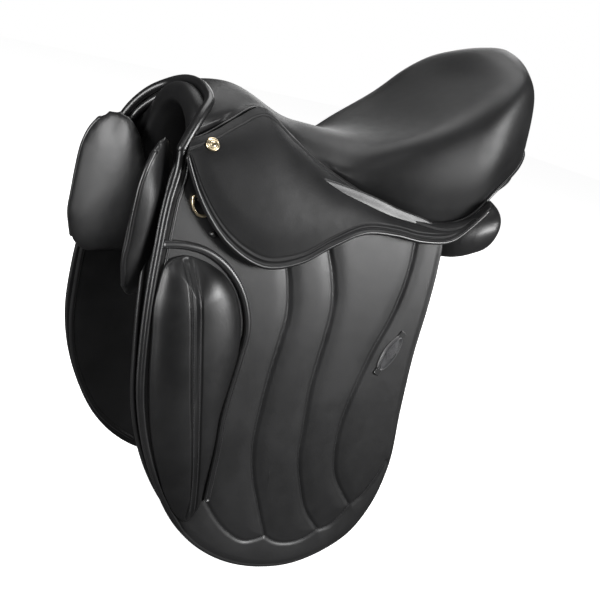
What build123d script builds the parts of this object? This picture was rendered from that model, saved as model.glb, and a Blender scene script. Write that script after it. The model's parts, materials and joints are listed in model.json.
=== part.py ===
from build123d import *
import copy
import math
import os

# English dressage saddle, millimetres.
# +X is the near (left) side, -Y the pommel, +Y the cantle, +Z up.
# Modelled with y = 0 near the lowest point of the seat; the last step moves the origin to the
# middle of the footprint, level with the flaps' lowest edge.

# ---------------------------------------------------------------- driving dimensions
FLAP_BOTTOM_X = 128          # half spread of the flaps near their lower edge
FLAP_TOP_X = 72              # half spread of the flaps at the pommel end of their top edge
FLAP_CURVE_BASE = 20         # height where the flap starts to lean in
FLAP_CURVE_RISE = 440        # height over which it leans in
FLAP_THICK = 5               # quilted flap
LEATHER = 3                  # skirt, sweat flap and strap leather
BLOCK_HEIGHT = 26            # knee block above the flap face
SEAT_LEATHER = 2.2           # seat cover
LAY_GAP = 0.4                # air between the flap face and a piece lying on it
WELT_RADIUS = 2
RIM_RADIUS = 4.5             # roll round the pommel
EDGE_ROLL_RADIUS = 2         # roll along the flap's front edge
PIPING_RADIUS = 1.8          # cord along the skirt's lower edge
BILLET_WIDTH = 25
BILLET_LENGTH = 330
BILLET_POINT = 14            # tapered end of a billet
BAR_RADIUS = 4               # stirrup bar
BAR_X = 79
BAR_Z = 448
BAR_FRONT_Y = -164
BAR_SHOULDER = 8             # arm that joins the bar to its plate
BAR_BOSS = 4.6               # half size of the arm round the bar
BAR_PLATE_THICK = 4
BAR_PLATE_Z = (442, 466)
BAR_PLATE_END_Y = -100
BAR_RIVET_Y = (-136, -122, -108)
BAR_RIVET_Z = 454
BAR_RIVET_LENGTH = 14.5
CATCH_PIN_Y = -108
CATCH_TAIL = 16
CATCH_PIN_RADIUS = 1.2
CATCH_BORE_RADIUS = 1.25
TONGUE_HALF = 1.5            # tongue of the bar between the fork of the catch
SLOT_HALF = 1.7
TONGUE_ROUND = 3
FORK_ROUND = 3.4
HINGE_FRONT = (-212, 440)    # bend line of flap and skirt, as (y, z)
HINGE_REAR = (80, 405)
SKIRT_GAP_ABOVE = 12         # skirt leather left out of the rigid parts above the bend line
SKIRT_GAP_BELOW = 3
GUARD_LAYER = (-9, -7)       # layers under the flap, measured from its outer face
BILLET_LAYER = (-14.5, -11)
SWEAT_LAYER = (-20, -17)
RAIL_OUTER_X = 62
BIG = 1000


# ---------------------------------------------------------------- shape helpers
def blend(table, at):
    """Smooth value at a station from a list of (station, value) pairs."""
    if at <= table[0][0]:
        return table[0][1]
    for (s0, v0), (s1, v1) in zip(table, table[1:]):
        if at <= s1:
            t = (at - s0) / (s1 - s0)
            t = t * t * (3 - 2 * t) * 0.5 + t * 0.5
            return v0 + (v1 - v0) * t
    return table[-1][1]


def flap_x(y, z):
    """Outer face of the near flap."""
    t = max(z - FLAP_CURVE_BASE, 0) / FLAP_CURVE_RISE
    low = FLAP_BOTTOM_X + 0.04 * (y + 100)
    top = FLAP_TOP_X + 0.115 * (y + 210)
    return low - (low - top) * t * t


def hinge_z(y):
    """Height of the bend line of flap and skirt."""
    (y0, z0), (y1, z1) = HINGE_FRONT, HINGE_REAR
    return z0 + (z1 - z0) * (y - y0) / (y1 - y0)


def spread(low, high, count):
    return [low + (high - low) * i / (count - 1) for i in range(count)]


def x_surface(function, ys, zs):
    return Face.make_surface_from_array_of_points([[Vector(function(y, z), y, z) for z in zs] for y in ys])


def outline(points):
    """Closed smooth outline in the drawing plane."""
    return Face(Wire(Spline(*points, periodic=True)))


def polygon(points):
    return Face(Wire(Polyline(*points, close=True)))


def side_prism(face):
    """Prism over an outline drawn as (y, z) points."""
    upright = only_face(Plane.YZ * face)
    if upright.normal_at().X < 0:
        upright = -upright
    return extrude(upright, amount=BIG, dir=(1, 0, 0))


def flap_layer(inner, outer, face, bulge=None):
    """Sheet that follows the flap between two offsets, cut to a side outline."""
    box = face.bounding_box()
    ys = spread(box.min.X - 8, box.max.X + 8, 14)
    zs = spread(box.min.Y - 8, box.max.Y + 8, 14)
    rise = bulge or (lambda y, z: 0)
    skin = x_surface(lambda y, z: flap_x(y, z) + outer + rise(y, z), ys, zs)
    floor = x_surface(lambda y, z: flap_x(y, z) + inner, ys, zs)
    below_skin = extrude(skin, amount=200, dir=(-1, 0, 0))
    above_floor = extrude(floor, amount=200, dir=(1, 0, 0))
    return side_prism(face) & below_skin & above_floor


def tube(points, radius):
    path = Edge.make_spline([Vector(*p) for p in points])
    start = Plane(origin=path @ 0, z_dir=path % 0)
    return sweep(start * Circle(radius), path=path)


def box_between(low, high):
    size = [h - l for l, h in zip(low, high)]
    middle = [(h + l) / 2 for l, h in zip(low, high)]
    return Pos(*middle) * Box(*size)


def rod(start, direction, radius, length):
    return Plane(origin=start, z_dir=direction) * extrude(Circle(radius), length)


def only_solid(shape):
    """The largest solid of a result."""
    return sorted(shape.solids(), key=lambda s: s.volume)[-1]


def only_face(shape):
    return sorted(shape.faces(), key=lambda f: f.area)[-1]


def off_side(shape):
    return mirror(shape, about=Plane.YZ)


nodes = {}


def keep(name, *shapes):
    solids = [solid for shape in shapes for solid in shape.solids()]
    nodes[name] = solids[0] if len(solids) == 1 else Compound(children=solids)


def keep_pair(name, *shapes):
    keep("near_" + name, *shapes)
    keep("off_" + name, *[off_side(shape) for shape in shapes])


# ---------------------------------------------------------------- outlines
FLAP_OUTLINE = [(-216, 446), (-223, 412), (-227, 365), (-229, 316), (-228, 272), (-222, 216),
                (-209, 170), (-189, 126), (-147, 64), (-114, 35), (-71, 12), (-28, 1), (14, 0),
                (53, 11), (90, 35), (113, 75), (122, 120), (117, 201), (115, 271), (119, 333),
                (120, 376), (117, 412), (40, 440), (-100, 462), (-200, 470)]
BLOCK_OUTLINE = [(-206, 362), (-180, 366), (-150, 352), (-126, 324), (-122, 292), (-128, 240),
                 (-135, 180), (-137, 120), (-146, 82), (-172, 110), (-196, 160), (-212, 220),
                 (-219, 280), (-217, 335)]
BAND_OUTER = [(-214, 377), (-180, 379), (-146, 364), (-119, 331), (-111, 290), (-116, 240),
              (-123, 180), (-124, 130), (-122, 96)]
BAND_INNER = [(-214, 369), (-180, 370), (-148, 356), (-123, 326), (-118.5, 292), (-124.5, 240),
              (-131.5, 180), (-133, 125), (-134, 97)]
BADGE_OUTLINE = [(90, 296), (86, 262), (64, 246), (66, 280)]
SWEAT_OUTLINE = [(-232, 420), (-240, 398), (-242, 360), (-236, 312), (-229, 262), (-221, 211),
                 (-208, 168), (-188, 126), (-150, 76), (-100, 40), (-40, 24), (40, 30), (90, 70),
                 (106, 140), (100, 260), (106, 360), (100, 388), (0, 400), (-100, 411), (-180, 421)]


# ---------------------------------------------------------------- seat
SEAT_HALF_WIDTH = [(-196, 56), (-180, 59), (-150, 52), (-121, 46), (-80, 47), (-40, 56), (0, 68),
                   (50, 86), (100, 101), (150, 109), (190, 106), (230, 90), (258, 65), (274, 42), (284, 18)]
SEAT_CENTRE_Z = [(-190, 524), (-150, 528), (-120, 523), (-90, 511), (-60, 501), (-30, 499), (0, 497),
                 (20, 497), (50, 504), (90, 524), (130, 555), (170, 590), (205, 620), (235, 633),
                 (258, 631), (274, 620), (290, 597)]
SEAT_EDGE_Z = [(-190, 500), (-150, 512), (-120, 515), (-90, 499), (-60, 481), (-30, 474), (0, 476),
               (20, 486), (50, 506), (90, 530), (130, 556), (170, 588), (205, 612), (235, 612),
               (258, 601), (274, 588), (290, 567)]
WELT = [(70, -208, 472), (64, -192, 477), (54, -159, 495), (46, -124, 513), (47, -89, 494),
        (53, -51, 472), (68, 0, 450), (84, 44, 435), (96, 82, 429), (103, 115, 428),
        (108, 147, 439), (106, 184, 476), (88, 230, 508), (58, 263, 524), (27, 280, 531)]
WELT_Z = [(y, z) for x, y, z in WELT]
WELT_REAR = (0, 287, 526)
WELT_DROP = 5                # welt centre below the cover's lower edge
FOAM_INSET = 7               # foam inside the cover, at the sides
FOAM_DROP = 5                # and at the top
FOAM_BOTTOM = [(-150, 494), (-90, 478), (-60, 467), (0, 459.5), (60, 466), (110, 480), (160, 506),
               (210, 540), (260, 560)]

SEAT_STATIONS = [-172, -150, -121, -90, -50, 0, 50, 100, 150, 190, 230, 258, 276, 284]


def dome_points(y, inset, drop, base):
    half = blend(SEAT_HALF_WIDTH, y) - inset
    middle = blend(SEAT_CENTRE_Z, y) - drop
    edge = blend(SEAT_EDGE_Z, y) - drop
    side = base + 0.55 * (edge - base)
    right = [(0.55 * half, edge + 0.6 * (middle - edge)), (0.86 * half, edge - 3), (1.02 * half, side)]
    left = [(-x, z) for x, z in reversed(right)]
    return [(-half, base)] + left + [(0, middle)] + right + [(half, base)]


def dome_edge(y, points):
    return Spline(*[(x, y, z) for x, z in points]).edge()


def seat_foam_section(y):
    base = blend(FOAM_BOTTOM, y)
    points = dome_points(y, SEAT_LEATHER + FOAM_INSET, SEAT_LEATHER + FOAM_DROP, base)
    (x0, z0), (x1, z1) = points[0], points[-1]
    return Face(Wire([dome_edge(y, points), Line((x1, y, z1), (x0, y, z0)).edge()]))


def seat_cover_section(y):
    """Arch-shaped section: the leather alone, open below."""
    base = blend(WELT_Z, y)
    outer = dome_points(y, 0, 0, base)
    inner = dome_points(y, SEAT_LEATHER, SEAT_LEATHER, base)
    right = Line((outer[-1][0], y, base), (inner[-1][0], y, base)).edge()
    left = Line((inner[0][0], y, base), (outer[0][0], y, base)).edge()
    return Face(Wire([dome_edge(y, outer), right, dome_edge(y, inner), left]))


def build_seat():
    keep("seat_cover", loft([seat_cover_section(y) for y in SEAT_STATIONS]))
    keep("seat_foam", loft([seat_foam_section(y) for y in SEAT_STATIONS[2:-1]]))
    near = [(blend(SEAT_HALF_WIDTH, y) - 0.5, y, blend(WELT_Z, y) - WELT_DROP) for y in SEAT_STATIONS[1:-1]]
    off = [(-x, y, z) for x, y, z in reversed(near)]
    keep("seat_welt", tube(near + [WELT_REAR] + off, WELT_RADIUS))


# ---------------------------------------------------------------- tree
HEAD_FRONT_Y = -182
HEAD_DEPTH = 18
HEAD_OUTER = [(66, 428), (63, 450), (54, 474), (42, 493), (24, 506), (0, 511)]
HEAD_THICK = 13
HEAD_RIVETS = [(0, 504.5), (33, 494), (-33, 494), (57, 450), (-57, 450)]
RAIL_BOXES = [(-163, 50, 62, 442, 466), (-100, 50, 62, 442, 466), (-45, 42, 54, 442, 454),
              (20, 46, 58, 443, 454), (60, 56, 72, 443, 457), (149, 70, 88, 464, 477)]
PLATE = 2
PLATE_GAP = 0.2
RIVET_RADIUS = 2.4
SPRING_THICK = 1.5
CANTLE_BOARD_OUTER = (92, 108)
CANTLE_BOARD_INNER = (70, 86)
CANTLE_BOARD_PLACE = (0, 157, 466)
CANTLE_BOARD_TILT = 25
CANTLE_BOARD_THICK = 14


def arch(points, shrink, y, depth):
    """Arch band across the pommel: outer contour moved in by shrink, then the band's own thickness."""
    start, thick = shrink
    half_outer = [(x - start * 0.9, z - start * 0.5) if x else (0, z - start) for x, z in points]
    inner = start + thick
    half_inner = [(x - inner * 0.9, z - inner * 0.5) if x else (0, z - inner) for x, z in points]
    outer = half_outer + [(-x, z) for x, z in half_outer[-2::-1]]
    inside = half_inner + [(-x, z) for x, z in half_inner[-2::-1]]
    edges = [Spline(*[(x, y, z) for x, z in outer]).edge(),
             Line((outer[-1][0], y, outer[-1][1]), (inside[-1][0], y, inside[-1][1])).edge(),
             Spline(*[(x, y, z) for x, z in inside]).edge(),
             Line((inside[0][0], y, inside[0][1]), (outer[0][0], y, outer[0][1])).edge()]
    return extrude(Face(Wire(edges)), amount=depth, dir=(0, 1, 0))


def strip_loft(stations):
    """Loft of upright boxes given as (y, x low, x high, z low, z high)."""
    sections = []
    for y, x0, x1, z0, z1 in stations:
        corners = [(x0, y, z0), (x1, y, z0), (x1, y, z1), (x0, y, z1)]
        sections.append(Face(Wire(Polyline(*corners, close=True))))
    return loft(sections, ruled=True)


def build_tree():
    head_rivets = [rod((x, HEAD_FRONT_Y - PLATE - 1, z), (0, 1, 0), RIVET_RADIUS, HEAD_DEPTH + PLATE + 1)
                   for x, z in HEAD_RIVETS]
    head = arch(HEAD_OUTER, (0, HEAD_THICK), HEAD_FRONT_Y, HEAD_DEPTH)
    plate = arch(HEAD_OUTER, (1.5, HEAD_THICK - 3), HEAD_FRONT_Y - PLATE - PLATE_GAP, PLATE)
    keep("tree_head", head - head_rivets)
    keep("head_plate", plate - head_rivets)
    keep("head_rivets", *head_rivets)
    keep("gullet_plate", arch(HEAD_OUTER, (HEAD_THICK + LAY_GAP, PLATE), HEAD_FRONT_Y + 2, HEAD_DEPTH - 4))
    rail = strip_loft(RAIL_BOXES)
    rivets = [rod((RAIL_OUTER_X - 9, y, BAR_RIVET_Z), (1, 0, 0), RIVET_RADIUS, BAR_RIVET_LENGTH)
              for y in BAR_RIVET_Y]
    keep_pair("tree_rail", rail - rivets)
    keep("bar_rivets", *rivets, *[off_side(r) for r in rivets])
    springs = [(y, x0 + 1, x1 - 1, z1 + LAY_GAP, z1 + LAY_GAP + SPRING_THICK)
               for y, x0, x1, z0, z1 in RAIL_BOXES]
    spring = strip_loft(springs)
    keep("tree_springs", spring, off_side(spring))
    board = Ellipse(*CANTLE_BOARD_OUTER) - Ellipse(*CANTLE_BOARD_INNER)
    board &= Pos(0, 100) * Rectangle(300, 200)
    cantle = Pos(*CANTLE_BOARD_PLACE) * Rot(CANTLE_BOARD_TILT, 0, 0) * extrude(board, CANTLE_BOARD_THICK)
    keep("tree_cantle", only_solid(cantle))
    return rivets


def bar_box(half, y_low, y_high, half_height):
    """Box round the line of the stirrup bar."""
    return box_between((BAR_X - half, y_low, BAR_Z - half_height), (BAR_X + half, y_high, BAR_Z + half_height))


def cross_rod(radius, length):
    """Rod across the stirrup bar at the catch's pin."""
    return rod((BAR_X - length / 2, CATCH_PIN_Y, BAR_Z), (1, 0, 0), radius, length)


def build_stirrup_bar(rivets):
    plate_low, plate_high = BAR_PLATE_Z
    plate = box_between((RAIL_OUTER_X + PLATE_GAP, BAR_FRONT_Y, plate_low),
                        (RAIL_OUTER_X + PLATE_GAP + BAR_PLATE_THICK, BAR_PLATE_END_Y, plate_high))
    arm = box_between((RAIL_OUTER_X + BAR_PLATE_THICK - 1, BAR_FRONT_Y, BAR_Z - BAR_BOSS),
                      (BAR_X + BAR_BOSS, BAR_FRONT_Y + BAR_SHOULDER, BAR_Z + BAR_BOSS))
    front = (BAR_X, BAR_FRONT_Y, BAR_Z)
    bar = rod(front, (0, 1, 0), BAR_RADIUS, CATCH_PIN_Y - 4 - BAR_FRONT_Y)
    envelope = rod(front, (0, 1, 0), BAR_RADIUS, CATCH_PIN_Y + CATCH_TAIL - BAR_FRONT_Y)
    pin = cross_rod(CATCH_PIN_RADIUS, 7.2)
    tongue_end = cross_rod(TONGUE_ROUND, 10) + bar_box(5, CATCH_PIN_Y - 5, CATCH_PIN_Y, BAR_RADIUS)
    tongue = bar_box(TONGUE_HALF, CATCH_PIN_Y - 5, CATCH_PIN_Y + 3, BAR_RADIUS) & envelope & tongue_end
    keep_pair("stirrup_bar", (plate + arm + bar + tongue) - pin - rivets)
    keep("catch_pins", pin, off_side(pin))
    tail = bar_box(5, CATCH_PIN_Y, CATCH_PIN_Y + CATCH_TAIL, 5) + cross_rod(FORK_ROUND, 10)
    slot = bar_box(SLOT_HALF, CATCH_PIN_Y - 5, CATCH_PIN_Y + 4.2, 5)
    keep_pair("bar_catch", (tail & envelope) - slot - cross_rod(CATCH_BORE_RADIUS, 10))


SEAT_WEB_LINE = [(-163, 496), (-120, 476), (-60, 456), (0, 451), (60, 455), (110, 468), (160, 490),
                 (240, 527)]
SEAT_WEB_X = (6, 32)
WEB_THICK = 1.5
CROSS_WEB_HALF = (40, 14)
CROSS_WEB_Z = (455.9, 457.1)


def build_webs():
    strip = strip_loft([(y, *SEAT_WEB_X, z, z + WEB_THICK) for y, z in SEAT_WEB_LINE])
    keep("seat_webs", strip, off_side(strip))
    half_x, half_y = CROSS_WEB_HALF
    low, high = CROSS_WEB_Z
    keep("cross_web", box_between((-half_x, -half_y, low), (half_x, half_y, high)))


# ---------------------------------------------------------------- pommel and cantle leather
RIM_NEAR = [(74, -213, 462), (71, -208, 475), (61, -197, 496), (45, -187, 512), (25, -182, 521)]
RIM_TOP = (0, -181, 525)
FACING_OUTER = [(64, 436), (63, 466), (55, 489), (42, 504), (24, 513), (0, 517)]
FACING_WIDTH = 12
FACING_THICK = 2.4
CANTLE_WALL_OUTER = (103, 130)
CANTLE_WALL_INNER = (100, 127)
CANTLE_WALL_Y = 150
CANTLE_BAND = [(162, 452), (184, 468), (230, 502), (258, 540), (276, 552), (277, 588), (286, 588),
               (286, 502), (205, 474), (184, 463), (162, 447)]


def build_trim():
    rim = RIM_NEAR + [RIM_TOP] + [(-x, y, z) for x, y, z in reversed(RIM_NEAR)]
    keep("pommel_rim", tube(rim, RIM_RADIUS))
    keep("pommel_facing", arch(FACING_OUTER, (0, FACING_WIDTH), HEAD_FRONT_Y - 7, FACING_THICK))
    ring = Ellipse(*CANTLE_WALL_OUTER) - Ellipse(*CANTLE_WALL_INNER)
    wall = extrude(Pos(0, CANTLE_WALL_Y) * (ring & Pos(0, 100) * Rectangle(300, 200)), BIG)
    side = side_prism(polygon(CANTLE_BAND))
    keep("cantle_facing", only_solid(wall & (side + off_side(side))))


# ---------------------------------------------------------------- skirts
SKIRT_COLUMNS = [((68, -206, 472), (-210, 456)), ((62, -180, 482), (-192, 420)), ((52, -150, 499), (-158, 382)),
                 ((46, -122, 512), (-118, 363)), ((48, -85, 492), (-74, 370)), ((55, -48, 470), (-38, 391)),
                 ((68, 0, 450), (0, 409)), ((84, 44, 435), (40, 411)), ((96, 82, 429), (80, 408)),
                 ((103, 115, 428), (117, 413)), ((108, 147, 439), (142, 432)), ((108, 176, 464), (164, 458))]
SKIRT_STANDOFF = 11
REACH_Y = 260                # beyond the ends of flap and skirt
RIM_BACK_Y = -198            # the fixed part of the skirt starts behind the rim


def skirt_point(column, t):
    """Point on the skirt's outer face, from the welt (t=0) to the lower edge (t=1)."""
    (tx, ty, tz), (by, bz) = SKIRT_COLUMNS[column]
    bx = flap_x(by, bz) + SKIRT_STANDOFF
    cx = bx - 9
    cy = (ty + by) / 2
    cz = tz - 0.18 * (tz - bz)
    weights = ((1 - t) ** 2, 2 * t * (1 - t), t * t)
    return Vector(*[sum(w * v for w, v in zip(weights, values))
                    for values in ((tx + 5, cx, bx), (ty, cy, by), (tz - 2, cz, bz))])


def below_hinge(gap):
    """Everything lower than the bend line by at least the gap."""
    y = REACH_Y
    return side_prism(polygon([(-y, hinge_z(-y) - gap), (y, hinge_z(y) - gap), (y, -50), (-y, -50)]))


def above_hinge(gap):
    """Everything higher than the bend line by at least the gap."""
    y = REACH_Y
    return side_prism(polygon([(-y, hinge_z(-y) + gap), (y, hinge_z(y) + gap), (y, BIG), (-y, BIG)]))


def build_skirt():
    grid = [[skirt_point(i, t) for t in spread(0, 1, 8)] for i in range(len(SKIRT_COLUMNS))]
    face = Face.make_surface_from_array_of_points(grid)
    inward = face.normal_at(face.center()).X < 0
    sheet = Solid.thicken(face, LEATHER if inward else -LEATHER)
    keep_pair("skirt", only_solid(sheet & below_hinge(SKIRT_GAP_BELOW)))
    behind_rim = box_between((0, RIM_BACK_Y, 0), (BIG, BIG, BIG))
    keep_pair("skirt_root", only_solid(sheet & above_hinge(SKIRT_GAP_ABOVE) & behind_rim))
    edge = [skirt_point(i, 1) for i in range(1, 8)]
    piping = [(p.X - 1.5, p.Y, p.Z - 3.8) for p in edge]
    keep_pair("skirt_piping", only_solid(tube(piping, PIPING_RADIUS) & below_hinge(SKIRT_GAP_BELOW)))


# ---------------------------------------------------------------- flap and what rides on it
BLOCK_MIDDLE = [(90, -150), (160, -166), (240, -171), (340, -174)]
BLOCK_HALF_WIDTH = [(80, 12), (120, 22), (180, 35), (250, 47), (320, 50), (370, 42)]
BLOCK_MIDDLE_Z = 232
BLOCK_HALF_LENGTH = 150
BLOCK_EDGE = 3               # height of the block at its seam
STUD_PLACE = (-170, 386)
STUD_RADIUS = 3.4
BAR_WINDOW_Y = (-184, -60)   # gap in the flap's top for the stirrup bar


def block_bulge(y, z):
    """Height of the knee block above the flap face."""
    across = (y - blend(BLOCK_MIDDLE, z)) / blend(BLOCK_HALF_WIDTH, z)
    along = (z - BLOCK_MIDDLE_Z) / BLOCK_HALF_LENGTH
    d = min(across ** 2 + along ** 4, 1)
    return BLOCK_EDGE + (BLOCK_HEIGHT - BLOCK_EDGE) * math.cos(math.pi / 2 * d) ** 2


def local_plane(y, z, lift):
    """Plane lying on the flap face at a point, x along the saddle and y up the flap."""
    here = Vector(flap_x(y, z), y, z)
    along = Vector(flap_x(y + 1, z), y + 1, z) - here
    up = Vector(flap_x(y, z + 1), y, z + 1) - here
    normal = along.cross(up).normalized()
    return Plane(origin=here + normal * lift, x_dir=along, z_dir=normal)


def build_flap():
    flap = outline(FLAP_OUTLINE)
    sheet = flap_layer(-FLAP_THICK, 0, flap)
    keep_pair("flap", only_solid(sheet & below_hinge(2)))
    bar_window = box_between((0, BAR_WINDOW_Y[0], 0), (BIG, BAR_WINDOW_Y[1], BIG))
    root = (sheet & above_hinge(2)) - above_hinge(9) - bar_window
    keep_pair("flap_root", *root.solids())
    block = outline(BLOCK_OUTLINE)
    keep_pair("knee_block", only_solid(flap_layer(LAY_GAP, LAY_GAP, block, block_bulge)))
    band = Face(Wire([Spline(*BAND_OUTER).edge(), Line(BAND_OUTER[-1], BAND_INNER[-1]).edge(),
                      Spline(*BAND_INNER).edge(), Line(BAND_INNER[0], BAND_OUTER[0]).edge()]))
    keep_pair("knee_block_band", only_solid(flap_layer(LAY_GAP, LAY_GAP + LEATHER, band)))
    edge = [(flap_x(y, z) + EDGE_ROLL_RADIUS + 0.8, y + 4, z) for y, z in FLAP_OUTLINE[1:9]]
    keep_pair("flap_edge_roll", tube(edge, EDGE_ROLL_RADIUS))
    keep_pair("flap_badge", only_solid(flap_layer(LAY_GAP, LEATHER, outline(BADGE_OUTLINE))))
    neck = extrude(Circle(STUD_RADIUS), 2)
    dome = Pos(0, 0, 2) * (Sphere(STUD_RADIUS) & Pos(0, 0, 5) * Box(10, 10, 10))
    keep_pair("flap_stud", local_plane(*STUD_PLACE, LAY_GAP) * (neck + dome))


# ---------------------------------------------------------------- under the flap
BILLET_CENTRES = {"front": -72, "rear": 14}
BILLET_TOP = 396
WEB_CENTRE_Z = 414           # webs that carry the billets
WEB_HEIGHT = 32
GUARD_CENTRE = (-29, 336)
GUARD_SIZE = (134, 62, 18)   # length, height, corner radius


def build_straps():
    for place, centre in BILLET_CENTRES.items():
        half = BILLET_WIDTH / 2
        low = BILLET_TOP - BILLET_LENGTH
        shape = polygon([(centre - half, BILLET_TOP), (centre + half, BILLET_TOP),
                         (centre + half, low + BILLET_POINT), (centre + 5, low), (centre - 5, low),
                         (centre - half, low + BILLET_POINT)])
        keep_pair(place + "_billet", only_solid(flap_layer(*BILLET_LAYER, shape)))
    web_shape = Rectangle(BILLET_WIDTH, WEB_HEIGHT)
    webs = [only_solid(flap_layer(*BILLET_LAYER, Pos(centre, WEB_CENTRE_Z) * web_shape))
            for centre in BILLET_CENTRES.values()]
    keep("billet_webs", *webs, *[off_side(web) for web in webs])
    guard = Pos(*GUARD_CENTRE) * RectangleRounded(*GUARD_SIZE)
    keep_pair("buckle_guard", only_solid(flap_layer(*GUARD_LAYER, guard)))
    keep_pair("sweat_flap", only_solid(flap_layer(*SWEAT_LAYER, outline(SWEAT_OUTLINE))))


# each station: y, centre x, centre z, half length, half thickness, slope down and outwards
PANEL_STATIONS = [(-249, 62, 386, 34, 7, 80), (-225, 50, 378, 70, 13, 80), (-190, 51, 366, 60, 15, 80),
                  (-140, 51, 382, 42, 15, 76), (-80, 54, 396, 33, 15, 60), (0, 58, 402, 26, 15, 30),
                  (80, 62, 402, 27, 16, 20), (115, 65, 406, 27, 19, 18), (150, 76, 412, 36, 29, 16),
                  (185, 78, 424, 40, 32, 14), (210, 76, 432, 34, 28, 10), (222, 72, 436, 18, 14, 8)]
# channel lining: y, half width, z
LINING_STATIONS = [(-150, 30, 437), (-60, 26, 434), (40, 28, 431), (150, 30, 452)]
LINING_THICK = 1.6


def build_panel():
    sections = []
    for y, cx, cz, half_long, half_thick, slope in PANEL_STATIONS:
        angle = math.radians(slope)
        lie = Plane(origin=(cx, y, cz), x_dir=(math.cos(angle), 0, -math.sin(angle)), z_dir=(0, 1, 0))
        sections.append(lie * make_face(Ellipse(half_long, half_thick).edges()))
    keep_pair("panel", loft(sections))
    lining = [(y, -half, half, z, z + LINING_THICK) for y, half, z in LINING_STATIONS]
    keep("channel_lining", strip_loft(lining))


# ---------------------------------------------------------------- rings and studs
DEE_PLACE = (-184, 414)
DEE_OUTER = (13, 8, 14)      # half width, height of the straight side, depth of the round side
DEE_OPENING = (9.2, 4.8, 10.4)
DEE_THICK = 3.2
DEE_LIFT = 0.9
CHAPE_SIZE = (14, 22, 4.8)
CHAPE_SLOT = (20, 6.8, 3.8)
CHAPE_CENTRE_UP = 12
SLOT_CENTRE_UP = 6.4
BRASS_STUD_RADIUS = 7.2
BRASS_STUD_HEIGHT = 2.6
BRASS_STUD_LIFT = 2.6        # above the skirt's modelled face, which is its mid surface


def half_round(half, straight, depth):
    top = Line((-half, straight), (half, straight))
    return make_face([top, ThreePointArc((half, straight), (0, -depth), (-half, straight))])


def build_dee():
    ring = extrude(half_round(*DEE_OUTER) - half_round(*DEE_OPENING), DEE_THICK)
    keep_pair("dee_ring", local_plane(*DEE_PLACE, DEE_LIFT) * ring)
    loop = Pos(0, CHAPE_CENTRE_UP, CHAPE_SIZE[2] / 2) * Box(*CHAPE_SIZE)
    slot = Pos(0, SLOT_CENTRE_UP, 2.1) * Box(*CHAPE_SLOT)
    keep_pair("dee_chape", local_plane(*DEE_PLACE, LAY_GAP) * (loop - slot))


def build_studs():
    here = skirt_point(1, 0.3)
    along = skirt_point(2, 0.3) - here
    down = skirt_point(1, 0.4) - here
    normal = along.cross(down).normalized()
    if normal.X < 0:
        normal = normal * -1
    base = Plane(origin=here + normal * BRASS_STUD_LIFT, z_dir=normal)
    stud = base * extrude(Circle(BRASS_STUD_RADIUS), BRASS_STUD_HEIGHT)
    keep("pommel_studs", stud, off_side(stud))


rivets = build_tree()
build_seat()
build_stirrup_bar(rivets)
build_webs()
build_trim()
build_skirt()
build_flap()
build_straps()
build_panel()
build_dee()
build_studs()


# ---------------------------------------------------------------- final place and files
def place_on_ground(shapes):
    """Move everything so that the origin is under the middle of the saddle's length."""
    box = Compound(children=[copy.copy(shape) for shape in shapes.values()]).bounding_box()
    move = Pos(0, -(box.min.Y + box.max.Y) / 2, -box.min.Z)
    return {name: move * shape for name, shape in shapes.items()}


os.makedirs("parts", exist_ok=True)
for name, shape in place_on_ground(nodes).items():
    export_step(shape, "parts/" + name + ".step")
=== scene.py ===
import json
import math

import bmesh
import bpy
import numpy as np
from mathutils import Matrix, Vector


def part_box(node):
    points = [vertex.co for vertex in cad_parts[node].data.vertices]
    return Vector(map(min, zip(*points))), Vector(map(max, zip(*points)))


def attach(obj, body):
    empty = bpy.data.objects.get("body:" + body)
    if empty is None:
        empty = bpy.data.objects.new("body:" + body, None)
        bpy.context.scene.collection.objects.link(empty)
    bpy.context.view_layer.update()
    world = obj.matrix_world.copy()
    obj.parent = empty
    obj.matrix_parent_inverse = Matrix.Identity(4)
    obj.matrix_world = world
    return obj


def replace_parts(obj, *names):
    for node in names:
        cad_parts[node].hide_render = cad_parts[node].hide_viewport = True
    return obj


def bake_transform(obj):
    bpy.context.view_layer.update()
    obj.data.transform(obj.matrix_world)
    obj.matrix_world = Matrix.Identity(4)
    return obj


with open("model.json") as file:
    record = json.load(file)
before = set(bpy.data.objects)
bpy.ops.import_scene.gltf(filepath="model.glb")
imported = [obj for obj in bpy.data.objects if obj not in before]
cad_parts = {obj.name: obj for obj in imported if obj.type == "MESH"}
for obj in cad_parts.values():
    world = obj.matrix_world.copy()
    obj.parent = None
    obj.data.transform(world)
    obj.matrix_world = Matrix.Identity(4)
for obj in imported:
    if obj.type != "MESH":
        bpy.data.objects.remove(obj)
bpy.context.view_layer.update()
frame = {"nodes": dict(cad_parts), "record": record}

# ------------------------------------------------------------------ where the drawing frame sits
# Shapes below are drawn in millimetres with y = 0 near the lowest point of the seat. The stirrup
# bar's plate starts at y -164 and z 442 there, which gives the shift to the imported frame.
bar_low, bar_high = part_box("near_stirrup_bar")
SHIFT_Y = bar_low.y * 1000 + 164
SHIFT_Z = bar_low.z * 1000 - 442
SIDES = (("near", 1), ("off", -1))


def metres(points):
    p = np.asarray(points, float)
    return (p + np.array([0, SHIFT_Y, SHIFT_Z])) / 1000


def metre_point(x, y, z):
    return Vector(metres([x, y, z]))


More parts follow.
